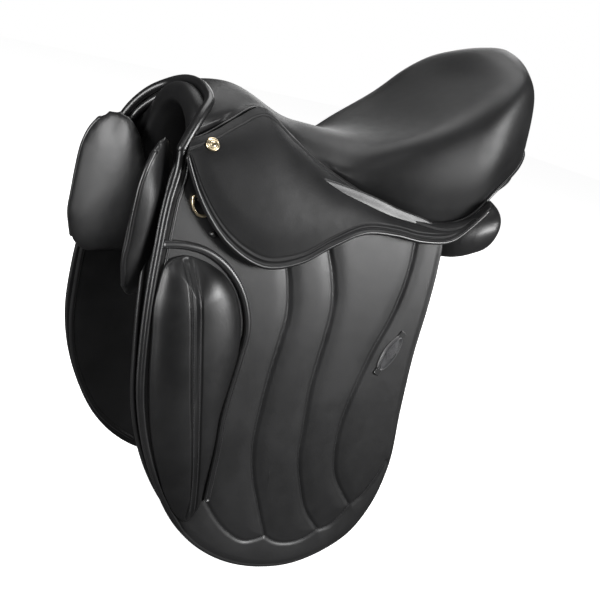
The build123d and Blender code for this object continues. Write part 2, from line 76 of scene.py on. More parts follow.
# ------------------------------------------------------------------ curves and tables
def tangents(at, p, closed=False):
    step = np.diff(at)
    slope = np.diff(p, axis=0) / step[:, None]
    out = np.empty_like(p)
    w = (step[1:] / (step[1:] + step[:-1]))[:, None]
    out[1:-1] = slope[:-1] * w + slope[1:] * (1 - w)
    if closed:
        w = step[0] / (step[0] + step[-1])
        out[0] = out[-1] = slope[-1] * w + slope[0] * (1 - w)
    elif len(p) > 2:
        out[0] = 1.5 * slope[0] - 0.5 * out[1]
        out[-1] = 1.5 * slope[-1] - 0.5 * out[-2]
    else:
        out[:] = slope[0]
    return out


def hermite(at, p, m, x):
    i = np.clip(np.searchsorted(at, x) - 1, 0, len(at) - 2)
    h = (at[i + 1] - at[i])
    t = ((x - at[i]) / h)[:, None]
    h = h[:, None]
    return ((2 * t ** 3 - 3 * t ** 2 + 1) * p[i] + (t ** 3 - 2 * t ** 2 + t) * h * m[i]
            + (3 * t ** 2 - 2 * t ** 3) * p[i + 1] + (t ** 3 - t ** 2) * h * m[i + 1])


def spline(points, count, closed=False):
    """Evenly spaced points on a smooth curve through the given ones."""
    p = np.asarray(points, float)
    if closed:
        p = np.vstack([p, p[:1]])
    at = np.concatenate([[0], np.cumsum(np.linalg.norm(np.diff(p, axis=0), axis=1))])
    q = hermite(at, p, tangents(at, p, closed), np.linspace(0, at[-1], max(count * 6, 400)))
    return evenly(q, count, not closed)


def evenly(q, count, endpoint=True):
    length = np.concatenate([[0], np.cumsum(np.linalg.norm(np.diff(q, axis=0), axis=1))])
    even = np.linspace(0, length[-1], count, endpoint=endpoint)
    return np.stack([np.interp(even, length, q[:, k]) for k in range(q.shape[1])], 1)


def table(points):
    """Smooth function of one number through (at, value, ...) rows."""
    data = np.array(points, float)
    at, p = data[:, 0], data[:, 1:]
    m = tangents(at, p)

    def value(x):
        x = np.clip(np.atleast_1d(np.asarray(x, float)), at[0], at[-1])
        return hermite(at, p, m, x)
    return value


def smooth(x, low, high):
    t = np.clip((x - low) / (high - low), 0, 1)
    return t * t * (3 - 2 * t)


def distance(points, line):
    """Distance from each (y, z) point to a polyline."""
    p = np.asarray(points, float).reshape(-1, 2)
    line = np.asarray(line, float)
    a, d = line[:-1], np.diff(line, axis=0)
    best = np.full(len(p), 1e9)
    for start, step in zip(a, d):
        t = np.clip(((p - start) @ step) / (step @ step), 0, 1)
        best = np.minimum(best, np.linalg.norm(p - start - t[:, None] * step, axis=1))
    return best.reshape(np.shape(points)[:-1])


def unit(v):
    return v / np.maximum(np.linalg.norm(v, axis=-1, keepdims=True), 1e-9)


# ------------------------------------------------------------------ mesh builders
def new_object(name, verts, faces, material=None, weld=False):
    mesh = bpy.data.meshes.new(name)
    mesh.from_pydata([tuple(v) for v in metres(verts)], [], [tuple(int(i) for i in f) for f in faces])
    if weld:
        bm = bmesh.new()
        bm.from_mesh(mesh)
        bmesh.ops.remove_doubles(bm, verts=bm.verts, dist=2e-5)
        bmesh.ops.recalc_face_normals(bm, faces=bm.faces)
        bm.to_mesh(mesh)
        bm.free()
    mesh.validate()
    mesh.polygons.foreach_set("use_smooth", [True] * len(mesh.polygons))
    mesh.update()
    obj = bpy.data.objects.new(name, mesh)
    bpy.context.scene.collection.objects.link(obj)
    if material:
        mesh.materials.append(material)
    return obj


def grid_faces(rows, columns, closed_columns=False, closed_rows=False, start=0):
    faces = []
    for r in range(rows if closed_rows else rows - 1):
        for c in range(columns if closed_columns else columns - 1):
            r2, c2 = (r + 1) % rows, (c + 1) % columns
            faces.append((start + r * columns + c, start + r * columns + c2,
                          start + r2 * columns + c2, start + r2 * columns + c))
    return faces


def mirror(points, side):
    p = np.array(points, float)
    p[..., 0] *= side
    return p


def flip(faces, side):
    return faces if side > 0 else [tuple(reversed(f)) for f in faces]


def path_frames(path):
    """Tangent and two cross directions along a path, without twist."""
    t = unit(np.gradient(path, axis=0))
    n = np.zeros_like(path)
    guess = np.array([0, 0, 1.0]) if abs(t[0][2]) < 0.9 else np.array([1.0, 0, 0])
    n[0] = unit(guess - t[0] * (guess @ t[0]))
    for i in range(1, len(path)):
        v = n[i - 1] - t[i] * (n[i - 1] @ t[i])
        n[i] = v / max(np.linalg.norm(v), 1e-9)
    return t, n, np.cross(t, n)


def tube(name, points, radius, material, count=120, sides=14, side=1, closed=False, flat=1.0):
    """Round cord through points, rounded at its ends. radius is a number or one value per given point."""
    path = spline(points, count, closed)
    t, n, b = path_frames(path)
    if np.ndim(radius):
        r = np.interp(np.linspace(0, 1, count), np.linspace(0, 1, len(radius)), radius)
    else:
        r = np.full(count, float(radius))
    rows = []
    for k, share in (((0, 0.02), (0, 0.5), (0, 0.85)) if not closed else ()):
        rows.append((path[k] - t[k] * r[k] * math.sqrt(1 - share ** 2), n[k], b[k], r[k] * share))
    rows += [(path[i], n[i], b[i], r[i]) for i in range(count)]
    for k, share in (((-1, 0.85), (-1, 0.5), (-1, 0.02)) if not closed else ()):
        rows.append((path[k] + t[k] * r[k] * math.sqrt(1 - share ** 2), n[k], b[k], r[k] * share))
    a = np.linspace(0, 2 * math.pi, sides, endpoint=False)
    verts = np.array([p + np.outer(np.cos(a) * rr, nn) + np.outer(np.sin(a) * rr * flat, bb) for p, nn, bb, rr in rows])
    faces = grid_faces(len(rows), sides, closed_columns=True, closed_rows=closed)
    if not closed:
        last = (len(rows) - 1) * sides
        faces.append(tuple(range(sides)))
        faces.append(tuple(last + i for i in reversed(range(sides))))
    return new_object(name, mirror(verts.reshape(-1, 3), side), flip(faces, -side), material)


def halves(outline_points, top, bottom, count):
    """Outline cut at its points nearest top and bottom: two runs from top to bottom."""
    dense = spline(outline_points, 1600, closed=True)
    i = int(np.argmin(np.linalg.norm(dense - np.array(top), axis=1)))
    dense = np.roll(dense, -i, axis=0)
    j = int(np.argmin(np.linalg.norm(dense - np.array(bottom), axis=1)))
    one = evenly(dense[: j + 1], count)
    two = evenly(np.vstack([dense[j:], dense[:1]])[::-1], count)
    return one, two


def ring_patch(outline_points, top, bottom, spine, rings, count, edge, power=1.25):
    """Points of a plan-shaped patch: rows run from the outline inwards to a spine, columns run round the outline."""
    one, two = halves(outline_points, top, bottom, count)
    loop = np.vstack([one, two[-2:0:-1]])
    u = np.concatenate([np.linspace(0, 1, count), np.linspace(1, 0, count)[1:-1]])
    line = spline(spine, 100) if len(spine) > 2 else np.array(spine, float)
    places = np.linspace(0, 1, len(line))
    target = np.stack([np.interp(u, places, line[:, k]) for k in (0, 1)], 1)
    t = unit(np.roll(loop, -1, axis=0) - np.roll(loop, 1, axis=0))
    inward = np.stack([-t[:, 1], t[:, 0]], 1)
    middle = line.mean(axis=0)
    if np.mean(np.sum(inward * (middle - loop), axis=1)) < 0:
        inward = -inward
    base = loop + inward * edge
    f = (np.linspace(0, 1, rings) ** power)[:, None, None]
    return base + (target - base) * f, loop, inward


def sheet(name, outline_points, top, bottom, spine, surface, front, back, material,
          side=1, rings=60, count=260, edge=None, back_rings=8, power=1.25, rim_steps=5):
    """Closed soft sheet. front and back give the offset from surface at (y, z); the edge is rounded."""
    edge = edge or 1.2
    inner, loop, inward = ring_patch(outline_points, top, bottom, spine, rings, count, edge, power)
    columns = len(loop)
    rows = []
    coarse = inner[np.linspace(rings - 1, 0, back_rings).astype(int)]
    for row in coarse:
        rows.append((row, back(row[:, 0], row[:, 1])))
    f0, b0 = front(inner[0][:, 0], inner[0][:, 1]), back(inner[0][:, 0], inner[0][:, 1])
    for a in np.linspace(0, math.pi, rim_steps + 2)[1:-1]:
        row = loop + inward * edge * (1 - math.sin(a))
        rows.append((row, (b0 + f0) / 2 - (f0 - b0) / 2 * math.cos(a)))
    for row in inner:
        rows.append((row, front(row[:, 0], row[:, 1])))
    verts = []
    for row, offset in rows:
        y, z = row[:, 0], row[:, 1]
        verts.append(np.stack([surface(y, z) + offset, y, z], 1))
    faces = grid_faces(len(rows), columns, closed_columns=True)
    return new_object(name, mirror(np.vstack(verts), side), faces, material, weld=True)


def stitches(name, path, normal, material, pitch=3.4, length=2.4, width=0.42, lift=0.1, side=1, skip=0):
    """Row of thread stitches lying on a surface."""
    p = np.asarray(path, float)
    total = np.sum(np.linalg.norm(np.diff(p, axis=0), axis=1))
    count = max(int(total / pitch), 2)
    at = evenly(np.hstack([p, np.broadcast_to(normal, p.shape)]), count * 2 + 1)
    centre, up = at[1::2, :3], unit(at[1::2, 3:])
    along = unit(at[2::2, :3] - at[:-1:2, :3])
    cross = np.cross(up, along)
    sides, verts, faces = 6, [], []
    a = np.linspace(0, 2 * math.pi, sides, endpoint=False)
    for c, u, t, x in zip(centre, up, along, cross):
        start = len(verts) * sides
        for s, r, sink in ((-0.5, 0.25, -0.35), (-0.3, 0.9, 0), (0, 1, 0.12), (0.3, 0.9, 0), (0.5, 0.25, -0.35)):
            core = c + t * length * s + u * (lift + sink * width)
            verts.append(core + np.outer(np.cos(a), x) * width * r + np.outer(np.sin(a), u) * width * r)
        faces += grid_faces(5, sides, closed_columns=True, start=start)
    return new_object(name, mirror(np.vstack(verts), side), faces, material)


def puff(obj, cap, voxel=4.0, pressure=4.0, frames=20):
    """Inflates a closed padded shape with a cloth simulation and keeps the result in its mesh, in millimetres."""
    scene = bpy.context.scene
    remesh = obj.modifiers.new("even_mesh", "REMESH")
    remesh.mode = "VOXEL"
    remesh.voxel_size = voxel / 1000
    even = obj.modifiers.new("even_skin", "SMOOTH")
    even.factor, even.iterations = 0.5, 4
    mesh = bpy.data.meshes.new_from_object(obj.evaluated_get(bpy.context.evaluated_depsgraph_get()))
    obj.modifiers.clear()
    obj.data = mesh
    start = np.empty(len(mesh.vertices) * 3)
    mesh.vertices.foreach_get("co", start)
    cloth = obj.modifiers.new("stuffing", "CLOTH")
    cloth.settings.quality = 5
    cloth.settings.use_pressure = True
    cloth.settings.uniform_pressure_force = pressure
    cloth.settings.effector_weights.gravity = 0
    cloth.point_cache.frame_start = 1
    cloth.point_cache.frame_end = frames
    for f in range(1, frames + 1):
        scene.frame_set(f)
    swollen = obj.evaluated_get(bpy.context.evaluated_depsgraph_get()).to_mesh()
    end = np.empty(len(swollen.vertices) * 3)
    swollen.vertices.foreach_get("co", end)
    move = (end - start).reshape(-1, 3)
    length = np.linalg.norm(move, axis=1, keepdims=True)
    move *= np.minimum(1, cap / 1000 / np.maximum(length, 1e-9))
    obj.modifiers.clear()
    scene.frame_set(1)
    mesh.vertices.foreach_set("co", (start.reshape(-1, 3) + move).reshape(-1))
    divide(obj)
    return obj


def divide(obj):
    """Applied smoothing and one subdivision, with smooth shading."""
    even = obj.modifiers.new("even_skin", "SMOOTH")
    even.factor, even.iterations = 0.5, 12
    obj.modifiers.new("subdivide", "SUBSURF").levels = 1
    mesh = bpy.data.meshes.new_from_object(obj.evaluated_get(bpy.context.evaluated_depsgraph_get()))
    obj.modifiers.clear()
    obj.data = mesh
    mesh.polygons.foreach_set("use_smooth", [True] * len(mesh.polygons))
    mesh.update()


def mirrored(obj, name):
    """Copy of a mesh on the other side of the mid-plane."""
    mesh = obj.data.copy()
    mesh.transform(Matrix.Scale(-1, 4, (1, 0, 0)))
    mesh.flip_normals()
    copy = bpy.data.objects.new(name, mesh)
    bpy.context.scene.collection.objects.link(copy)
    return copy


# ------------------------------------------------------------------ materials
def link(tree, a, b):
    tree.links.new(a, b)


def node(tree, kind, **values):
    n = tree.nodes.new(kind)
    for key, value in values.items():
        if key in n.inputs:
            n.inputs[key].default_value = value
        else:
            setattr(n, key, value)
    return n


def base_material(name):
    m = bpy.data.materials.new(name)
    m.use_nodes = True
    m.node_tree.nodes.clear()
    t = m.node_tree
    out = t.nodes.new("ShaderNodeOutputMaterial")
    shader = t.nodes.new("ShaderNodeBsdfPrincipled")
    link(t, shader.outputs[0], out.inputs[0])
    return m, t, shader


def mix_color(t, fac, a, b):
    n = t.nodes.new("ShaderNodeMix")
    n.data_type = "RGBA"
    for socket, value in ((n.inputs[6], a), (n.inputs[7], b)):
        if isinstance(value, tuple):
            socket.default_value = value
        else:
            link(t, value, socket)
    link(t, fac, n.inputs[0])
    return n.outputs[2]


def ramp(t, source, low, high, a=0.0, b=1.0):
    n = t.nodes.new("ShaderNodeMapRange")
    n.interpolation_type = "SMOOTHSTEP"
    link(t, source, n.inputs[0])
    for i, v in ((1, low), (2, high), (3, a), (4, b)):
        n.inputs[i].default_value = v
    return n.outputs[0]


def leather(name, tone=0.013, rough=0.40, grain=0.10, pore=900, wear=0.35, coat=0.12, shine=0.5):
    """Dyed calf leather: fine pebble grain, patchy sheen, edges rubbed a little lighter."""
    m, t, shader = base_material(name)
    coords = t.nodes.new("ShaderNodeNewGeometry")
    place = t.nodes.new("ShaderNodeTexCoord")
    cells = node(t, "ShaderNodeTexVoronoi", feature="DISTANCE_TO_EDGE", Scale=pore)
    cells.inputs["Randomness"].default_value = 1.0
    warp = node(t, "ShaderNodeTexNoise", Scale=pore * 0.35, Detail=3.0, Roughness=0.6)
    broad = node(t, "ShaderNodeTexNoise", Scale=11.0, Detail=4.0, Roughness=0.55)
    crease = node(t, "ShaderNodeTexNoise", Scale=70.0, Detail=5.0, Roughness=0.62)
    for n in (cells, warp, broad, crease):
        link(t, place.outputs["Object"], n.inputs["Vector"])
    cell_edge = ramp(t, cells.outputs["Distance"], 0.0, 0.28)
    height = t.nodes.new("ShaderNodeMath")
    height.operation = "MULTIPLY_ADD"
    link(t, warp.outputs[0], height.inputs[0])
    height.inputs[1].default_value = 0.7
    link(t, cell_edge, height.inputs[2])
    fine = node(t, "ShaderNodeBump", Strength=grain, Distance=0.0004)
    link(t, height.outputs[0], fine.inputs["Height"])
    soft = node(t, "ShaderNodeBump", Strength=0.10, Distance=0.0012)
    link(t, crease.outputs[0], soft.inputs["Height"])
    link(t, fine.outputs[0], soft.inputs["Normal"])
    link(t, soft.outputs[0], shader.inputs["Normal"])
    rubbed = ramp(t, coords.outputs["Pointiness"], 0.515, 0.56)
    patch = ramp(t, broad.outputs[0], 0.35, 0.7)
    dark = (tone * 0.8, tone * 0.8, tone * 0.84, 1)
    light = (tone * 1.5, tone * 1.5, tone * 1.56, 1)
    body = mix_color(t, patch, dark, light)
    edge = t.nodes.new("ShaderNodeMath")
    edge.operation = "MULTIPLY"
    link(t, rubbed, edge.inputs[0])
    edge.inputs[1].default_value = wear
    worn = (tone * 4.2, tone * 4.1, tone * 4.1, 1)
    link(t, mix_color(t, edge.outputs[0], body, worn), shader.inputs["Base Color"])
    polish = t.nodes.new("ShaderNodeMath")
    polish.operation = "MULTIPLY_ADD"
    link(t, crease.outputs[0], polish.inputs[0])
    polish.inputs[1].default_value = 0.16
    polish.inputs[2].default_value = rough - 0.10
    spread = t.nodes.new("ShaderNodeMath")
    spread.operation = "MULTIPLY_ADD"
    link(t, patch, spread.inputs[0])
    spread.inputs[1].default_value = 0.06
    link(t, polish.outputs[0], spread.inputs[2])
    link(t, spread.outputs[0], shader.inputs["Roughness"])
    shader.inputs["Specular IOR Level"].default_value = shine
    shader.inputs["Coat Weight"].default_value = coat
    shader.inputs["Coat Roughness"].default_value = 0.32
    return m


def metal(name, color, rough=0.22, scratch=0.12, dirt=0.5):
    m, t, shader = base_material(name)
    place = t.nodes.new("ShaderNodeTexCoord")
    fine = node(t, "ShaderNodeTexNoise", Scale=900.0, Detail=3.0)
    broad = node(t, "ShaderNodeTexNoise", Scale=120.0, Detail=4.0)
    for n in (fine, broad):
        link(t, place.outputs["Object"], n.inputs["Vector"])
    link(t, ramp(t, broad.outputs[0], 0.3, 0.7, rough - 0.06, rough + 0.12), shader.inputs["Roughness"])
    dull = tuple(c * 0.6 for c in color[:3]) + (1,)
    link(t, mix_color(t, ramp(t, broad.outputs[0], 0.55, 0.8, 0.0, dirt), color, dull), shader.inputs["Base Color"])
    shader.inputs["Metallic"].default_value = 1.0
    bump = node(t, "ShaderNodeBump", Strength=scratch, Distance=0.0001)
    link(t, fine.outputs[0], bump.inputs["Height"])
    link(t, bump.outputs[0], shader.inputs["Normal"])
    return m


def woven(name, a, b, pitch=1300.0):
    m, t, shader = base_material(name)
    place = t.nodes.new("ShaderNodeTexCoord")
    waves = []
    for direction in ("X", "Y"):
        w = node(t, "ShaderNodeTexWave", wave_type="BANDS", bands_direction=direction, Scale=pitch / 3)
        link(t, place.outputs["Object"], w.inputs["Vector"])
        waves.append(w)
    high = t.nodes.new("ShaderNodeMath")
    high.operation = "MAXIMUM"
    link(t, waves[0].outputs["Fac"], high.inputs[0])
    link(t, waves[1].outputs["Fac"], high.inputs[1])
    link(t, mix_color(t, high.outputs[0], a, b), shader.inputs["Base Color"])
    shader.inputs["Roughness"].default_value = 0.85
    bump = node(t, "ShaderNodeBump", Strength=0.5, Distance=0.0003)
    link(t, high.outputs[0], bump.inputs["Height"])
    link(t, bump.outputs[0], shader.inputs["Normal"])
    return m


def wooden(name):
    m, t, shader = base_material(name)
    place = t.nodes.new("ShaderNodeTexCoord")
    stretch = t.nodes.new("ShaderNodeMapping")
    stretch.inputs["Scale"].default_value = (1.0, 0.12, 1.0)
    link(t, place.outputs["Object"], stretch.inputs["Vector"])
    grain = node(t, "ShaderNodeTexNoise", Scale=260.0, Detail=6.0, Roughness=0.6)
    layers = node(t, "ShaderNodeTexWave", wave_type="BANDS", bands_direction="Z", Scale=160.0, Distortion=0.6)
    link(t, stretch.outputs[0], grain.inputs["Vector"])
    link(t, stretch.outputs[0], layers.inputs["Vector"])
    body = mix_color(t, ramp(t, grain.outputs[0], 0.3, 0.7), (0.36, 0.22, 0.11, 1), (0.62, 0.44, 0.26, 1))
    link(t, mix_color(t, ramp(t, layers.outputs["Fac"], 0.85, 1.0, 0.0, 0.5), body, (0.22, 0.12, 0.06, 1)),
         shader.inputs["Base Color"])
    shader.inputs["Roughness"].default_value = 0.5
    bump = node(t, "ShaderNodeBump", Strength=0.15, Distance=0.0005)
    link(t, grain.outputs[0], bump.inputs["Height"])
    link(t, bump.outputs[0], shader.inputs["Normal"])
    return m


SEAT_LEATHER = leather("seat_leather", tone=0.0075, rough=0.44, grain=0.10, pore=1000, coat=0.04, shine=0.3)
FLAP_LEATHER = leather("flap_leather", tone=0.009, rough=0.42, grain=0.12, pore=850, coat=0.16)
SKIRT_LEATHER = leather("skirt_leather", tone=0.008, rough=0.5, grain=0.12, pore=900, coat=0.0,
                        shine=0.2)
BLOCK_LEATHER = leather("block_leather", tone=0.007, rough=0.36, grain=0.08, pore=1050, coat=0.08, shine=0.4)
PANEL_LEATHER = leather("panel_leather", tone=0.008, rough=0.40, grain=0.10, pore=800, wear=0.25)
CORD_LEATHER = leather("cord_leather", tone=0.0075, rough=0.33, grain=0.06, pore=1200, wear=0.5, coat=0.25)
STRAP_LEATHER = leather("strap_leather", tone=0.011, rough=0.5, grain=0.14, pore=700, wear=0.5)
BADGE_LEATHER = leather("badge_leather", tone=0.06, rough=0.3, grain=0.03, pore=900, wear=0.8, coat=0.3)
THREAD = woven("black_thread", (0.012, 0.012, 0.013, 1), (0.05, 0.05, 0.052, 1), 6000.0)
WEB_TAPE = woven("web_tape", (0.33, 0.30, 0.23, 1), (0.62, 0.58, 0.48, 1), 1500.0)
BRASS = metal("brass", (0.80, 0.67, 0.45, 1), 0.28)
STEEL = metal("steel", (0.50, 0.50, 0.51, 1), 0.34, 0.2)
BEECH = wooden("beech")
ENAMEL = leather("black_enamel", tone=0.006, rough=0.16, grain=0.0, pore=500, wear=0.0, coat=1.0)


# ------------------------------------------------------------------ the flap face, as in the CAD
def flap_x(y, z):
    t = np.maximum(np.asarray(z, float) - 20, 0) / 440
    low = 128 + 0.04 * (np.asarray(y, float) + 100)
    top = 72 + 0.115 * (np.asarray(y, float) + 210)
    return low - (low - top) * t * t


def flap_normal(y, z):
    y, z = np.asarray(y, float), np.asarray(z, float)
    dy = flap_x(y + 1, z) - flap_x(y, z)
    dz = flap_x(y, z + 1) - flap_x(y, z)
    return unit(np.stack([np.ones_like(dy), -dy, -dz], -1))


def on_flap(yz, offset):
    yz = np.asarray(yz, float)
    return np.stack([flap_x(yz[:, 0], yz[:, 1]) + offset, yz[:, 0], yz[:, 1]], 1)


HINGE_FRONT, HINGE_REAR = (-212, 440), (80, 405)


def hinge_z(y):
    return HINGE_FRONT[1] + (HINGE_REAR[1] - HINGE_FRONT[1]) * (y - HINGE_FRONT[0]) / (HINGE_REAR[0] - HINGE_FRONT[0])


# ------------------------------------------------------------------ flap
FLAP_OUTLINE = [(-216, 446), (-223, 412), (-227, 365), (-229, 316), (-228, 272), (-222, 216),
                (-209, 170), (-189, 126), (-147, 64), (-114, 35), (-71, 12), (-28, 1), (14, 0),
                (53, 11), (90, 35), (113, 75), (122, 120), (117, 201), (115, 271), (119, 333),
                (120, 376), (117, 412), (40, 440), (-100, 462), (-200, 470)]
CHANNELS = [[(-82, 372), (-71, 333), (-68, 308), (-71, 281), (-76, 241), (-78, 204), (-77, 159), (-69, 125),
             (-53, 87), (-33, 44)],
            [(-37, 396), (-19, 351), (-14, 329), (-14, 296), (-17, 268), (-20, 228), (-17, 180), (-14, 145),
             (-2, 108), (15, 73), (40, 45)],
            [(79, 414), (80, 377), (76, 344), (66, 307), (53, 274), (43, 238), (36, 207), (33, 179), (36, 143),
             (44, 118), (60, 95), (78, 75)]]
SCALLOPS = [[(-122, 98), (-104, 74), (-86, 56), (-57, 40), (-33, 44)],
            [(-33, 44), (-18, 35), (0, 31), (22, 34), (40, 45)],
            [(40, 45), (56, 49), (68, 60), (78, 75)],
            [(78, 75), (92, 87), (104, 106), (116, 133)]]
channel_lines = [spline(c, 60) for c in CHANNELS]
scallop_lines = [spline(c, 24) for c in SCALLOPS]
seam_lines = channel_lines + scallop_lines


def flap_face(y, z):
    p = np.stack([y, z], -1)
    near = np.full(np.shape(y), 1e9)
    groove = np.zeros(np.shape(y))
    for line in channel_lines:
        d = distance(p, line)
        near = np.minimum(near, d)
        groove = np.maximum(groove, np.exp(-(d / 1.9) ** 2))
    for line in scallop_lines:
        d = distance(p, line)
        near = np.minimum(near, d)
        groove = np.maximum(groove, 0.75 * np.exp(-(d / 2.0) ** 2))
    edge = distance(p, flap_border)
    pillow = 1 - np.exp(-(near / 11) ** 2)
    margin = smooth(edge, 2, 12)
    rim = 0.55 * np.exp(-((edge - 4.6) / 0.9) ** 2) * smooth(-np.asarray(z), -330, -250)
    return -0.8 + 1.7 * pillow * margin - 2.4 * groove - rim


flap_border = spline(FLAP_OUTLINE, 220, closed=True)


def build_flap(name, side):
    body = name + "_flap"
    skin = sheet(name + "_flap_skin", FLAP_OUTLINE, (-60, 458), (-10, 0), [(-62, 400), (-50, 120)], flap_x,
                 flap_face, lambda y, z: np.full(np.shape(y), -5.0), FLAP_LEATHER, side,
                 rings=92, count=330, edge=2.3)
    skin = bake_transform(skin)
    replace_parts(skin, name + "_flap", name + "_flap_root")
    for i, line in enumerate(channel_lines):
        y, z = line[:, 0], line[:, 1]
        row = on_flap(line, flap_face(y, z) + 0.05)
        s = stitches(f"{name}_channel_stitch_{i + 1}", row[2:], flap_normal(y, z)[2:], THREAD, side=side)
        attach(s, body)
    for i, line in enumerate(scallop_lines):
        y, z = line[:, 0], line[:, 1]
        row = on_flap(line, flap_face(y, z) + 0.05)
        s = stitches(f"{name}_scallop_stitch_{i + 1}", row, flap_normal(y, z), THREAD, side=side)
        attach(s, body)


# ------------------------------------------------------------------ edge rolls in front
RIM_NEAR = [(74, -213, 462), (71, -207, 475), (62, -194, 495), (47, -181, 509), (26, -177, 516.5)]
EDGE_YZ = [(-216, 446), (-222, 412), (-226, 365), (-228, 316), (-227, 272), (-221, 216), (-208, 170),
           (-188, 126), (-146, 64)]


def build_edge_rolls(name, side):
    path = [(flap_x(y, z) + 1.6, y + 3.2, z) for y, z in EDGE_YZ]
    path = [(74.6, -213, 461)] + path
    roll = tube(name + "_flap_roll", path, [4.3, 4.0, 3.6, 3.3, 3.1, 3.0, 2.9, 2.8, 2.6, 1.6], CORD_LEATHER,
                count=260, side=side)
    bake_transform(roll)
    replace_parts(roll, name + "_flap_edge_roll")
    inner = [(flap_x(y, z) + 1.7, y + 12.5 - 0.004 * max(0, 316 - z), z) for y, z in EDGE_YZ[:8]]
    second = tube(name + "_flap_roll_inner", [(74.5, -206, 459)] + inner, 1.9, CORD_LEATHER, count=240, sides=10, side=side)
    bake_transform(second)


def build_rim():
    rim = RIM_NEAR + [(0, -177, 519.5)] + [(-x, y, z) for x, y, z in reversed(RIM_NEAR)]
    roll = tube("pommel_roll", rim, 5.2, CORD_LEATHER, count=260, sides=16)
    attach(roll, "root")
    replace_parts(roll, "pommel_rim")
    inner = [(x * 0.93, y + 3, z - 9) for x, y, z in rim]
    inner[0], inner[-1] = (68.5, -208, 440), (-68.5, -208, 440)
    second = tube("pommel_roll_inner", inner, 4.2, CORD_LEATHER, count=240, sides=14)
    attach(second, "root")


ARCH_OUTER = [(67, 434), (64, 452), (56, 475), (43, 495), (25, 508), (0, 513)]
ARCH_INNER = [(53, 424), (50, 444), (41, 466), (29, 484), (14, 494), (0, 497)]


def across_arch(near, count):
    """Smooth line over the arch from the near side to the off side."""
    return spline(list(near) + [(-x, *rest) for x, *rest in reversed(near[:-1])], count)


def build_pommel_cover():
    """Leather that lines the front of the pommel and turns under its arch."""
    count = 120
    rim = across_arch([(70, -209, 462), (67, -203, 474), (58, -191, 492), (44, -179, 505), (24, -175, 512),
                       (0, -174, 515)], count)
    front = across_arch([(x, -193, z) for x, z in ARCH_OUTER], count)
    lip = across_arch([(x + 2, -194, z + 1) for x, z in ARCH_INNER[:-1]] + [(0, -194, 498)], count)
    under = across_arch([(x - 2, -186, z - 2) for x, z in ARCH_INNER[:-1]] + [(0, -186, 494.5)], count)
    deep = across_arch([(x - 2.5, -120, z - 3) for x, z in ARCH_INNER[:-1]] + [(0, -120, 493)], count)
    back = across_arch([(x * 0.88, -72, 424 + (z - 424) * 0.44) for x, z in ARCH_INNER[:-1]] + [(0, -72, 456)], count)
    grid = np.array([spline([rim[i], front[i], lip[i], under[i], deep[i], back[i]], 60) for i in range(count)])
    cover = new_object("pommel_cover", grid.reshape(-1, 3), flip(grid_faces(count, 60), -1), SEAT_LEATHER)
    thick = cover.modifiers.new("thickness", "SOLIDIFY")
    thick.thickness = 0.0018
    thick.offset = 0.0
    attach(cover, "root")
    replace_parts(cover, "pommel_facing")


# ------------------------------------------------------------------ seat
SEAT_HALF = table([(-208, 62), (-180, 59), (-150, 52), (-121, 46), (-80, 47), (-40, 56), (0, 68), (50, 86),
                   (100, 101), (150, 109), (190, 106), (230, 78), (258, 60), (274, 43), (290, 12)])
SEAT_TOP = table([(-208, 522), (-190, 524), (-150, 528), (-120, 523), (-90, 511), (-60, 501), (-30, 499), (0, 497),
                  (20, 497), (50, 504), (90, 524), (130, 555), (170, 590), (205, 628), (235, 636), (258, 630),
                  (274, 620), (290, 600)])
SEAT_EDGE = table([(-208, 497), (-190, 500), (-150, 512), (-120, 515), (-90, 499), (-60, 481), (-30, 474),
                   (0, 476), (20, 486), (50, 506), (90, 530), (130, 556), (170, 591), (205, 612), (235, 608),
                   (258, 595), (274, 584), (290, 565)])
WELT = [(70, -208, 472), (64, -192, 477), (54, -159, 495), (46, -124, 513), (47, -89, 494), (53, -51, 472),
        (68, 0, 450), (84, 44, 435), (96, 82, 429), (103, 115, 428), (108, 147, 439), (106, 184, 476),
        (88, 230, 508), (58, 263, 524), (27, 280, 531), (0, 286, 532)]


def seat_top(x, y):
    """Height of the seat inside its shoulder line."""
    t = np.abs(x) / (0.86 * SEAT_HALF(y)[:, 0])
    centre, edge = SEAT_TOP(y)[:, 0], SEAT_EDGE(y)[:, 0] - 3
    return centre + (edge - centre) * t ** 2


def seat_grid(rows=300, columns=90):
    """Near half of the seat: rows go round the welt, columns climb from the welt to the mid-plane."""
    line = spline(WELT, rows)
    front = spline([(70, -208, 473), (67, -203, 483), (61, -193, 496), (47, -181, 508.5), (26, -177, 515.5),
                    (0, -177, 518.5), (-26, -177, 515.5)], 1401)
    front = front[: 1 + int(np.argmin(np.abs(front[:, 0])))]
    grid = []
    for ox, oy, oz in line:
        if oy > 190:
            qy = 190 + (oy - 190) * 0.47
        elif oy < -124:
            qy = -124 + (oy + 124) * 57 / 84
        else:
            qy = oy
        share = np.array([0.86, 0.55, 0.0, -0.55])
        xs, ys = ox * share, qy + (oy - qy) * share
        zs = seat_top(xs, ys)
        side_z = oz + 0.55 * (zs[0] - oz)
        bulge = 1.02 + 0.015 * smooth(zs[0] - oz, 20, 80) - 0.07 * smooth(oy, 150, 240)
        points = [(ox, oy, oz), (ox * bulge, qy + (oy - qy) * bulge, side_z)]
        points += list(zip(xs, ys, zs))
        if zs[0] - oz < 12:
            points.pop(1)
        p = np.array(points)
        at = np.concatenate([[0], np.cumsum(np.linalg.norm(np.diff(p, axis=0), axis=1))])
        dense = hermite(at, p, tangents(at, p), np.linspace(0, at[-2], 500))
        profile = evenly(dense, columns)
        weight = float(1 - smooth(oy, -208, -140))
        profile = profile * (1 - weight) + evenly(front, columns) * weight if weight > 0 else profile
        grid.append(profile)
    return relax(np.array(grid))


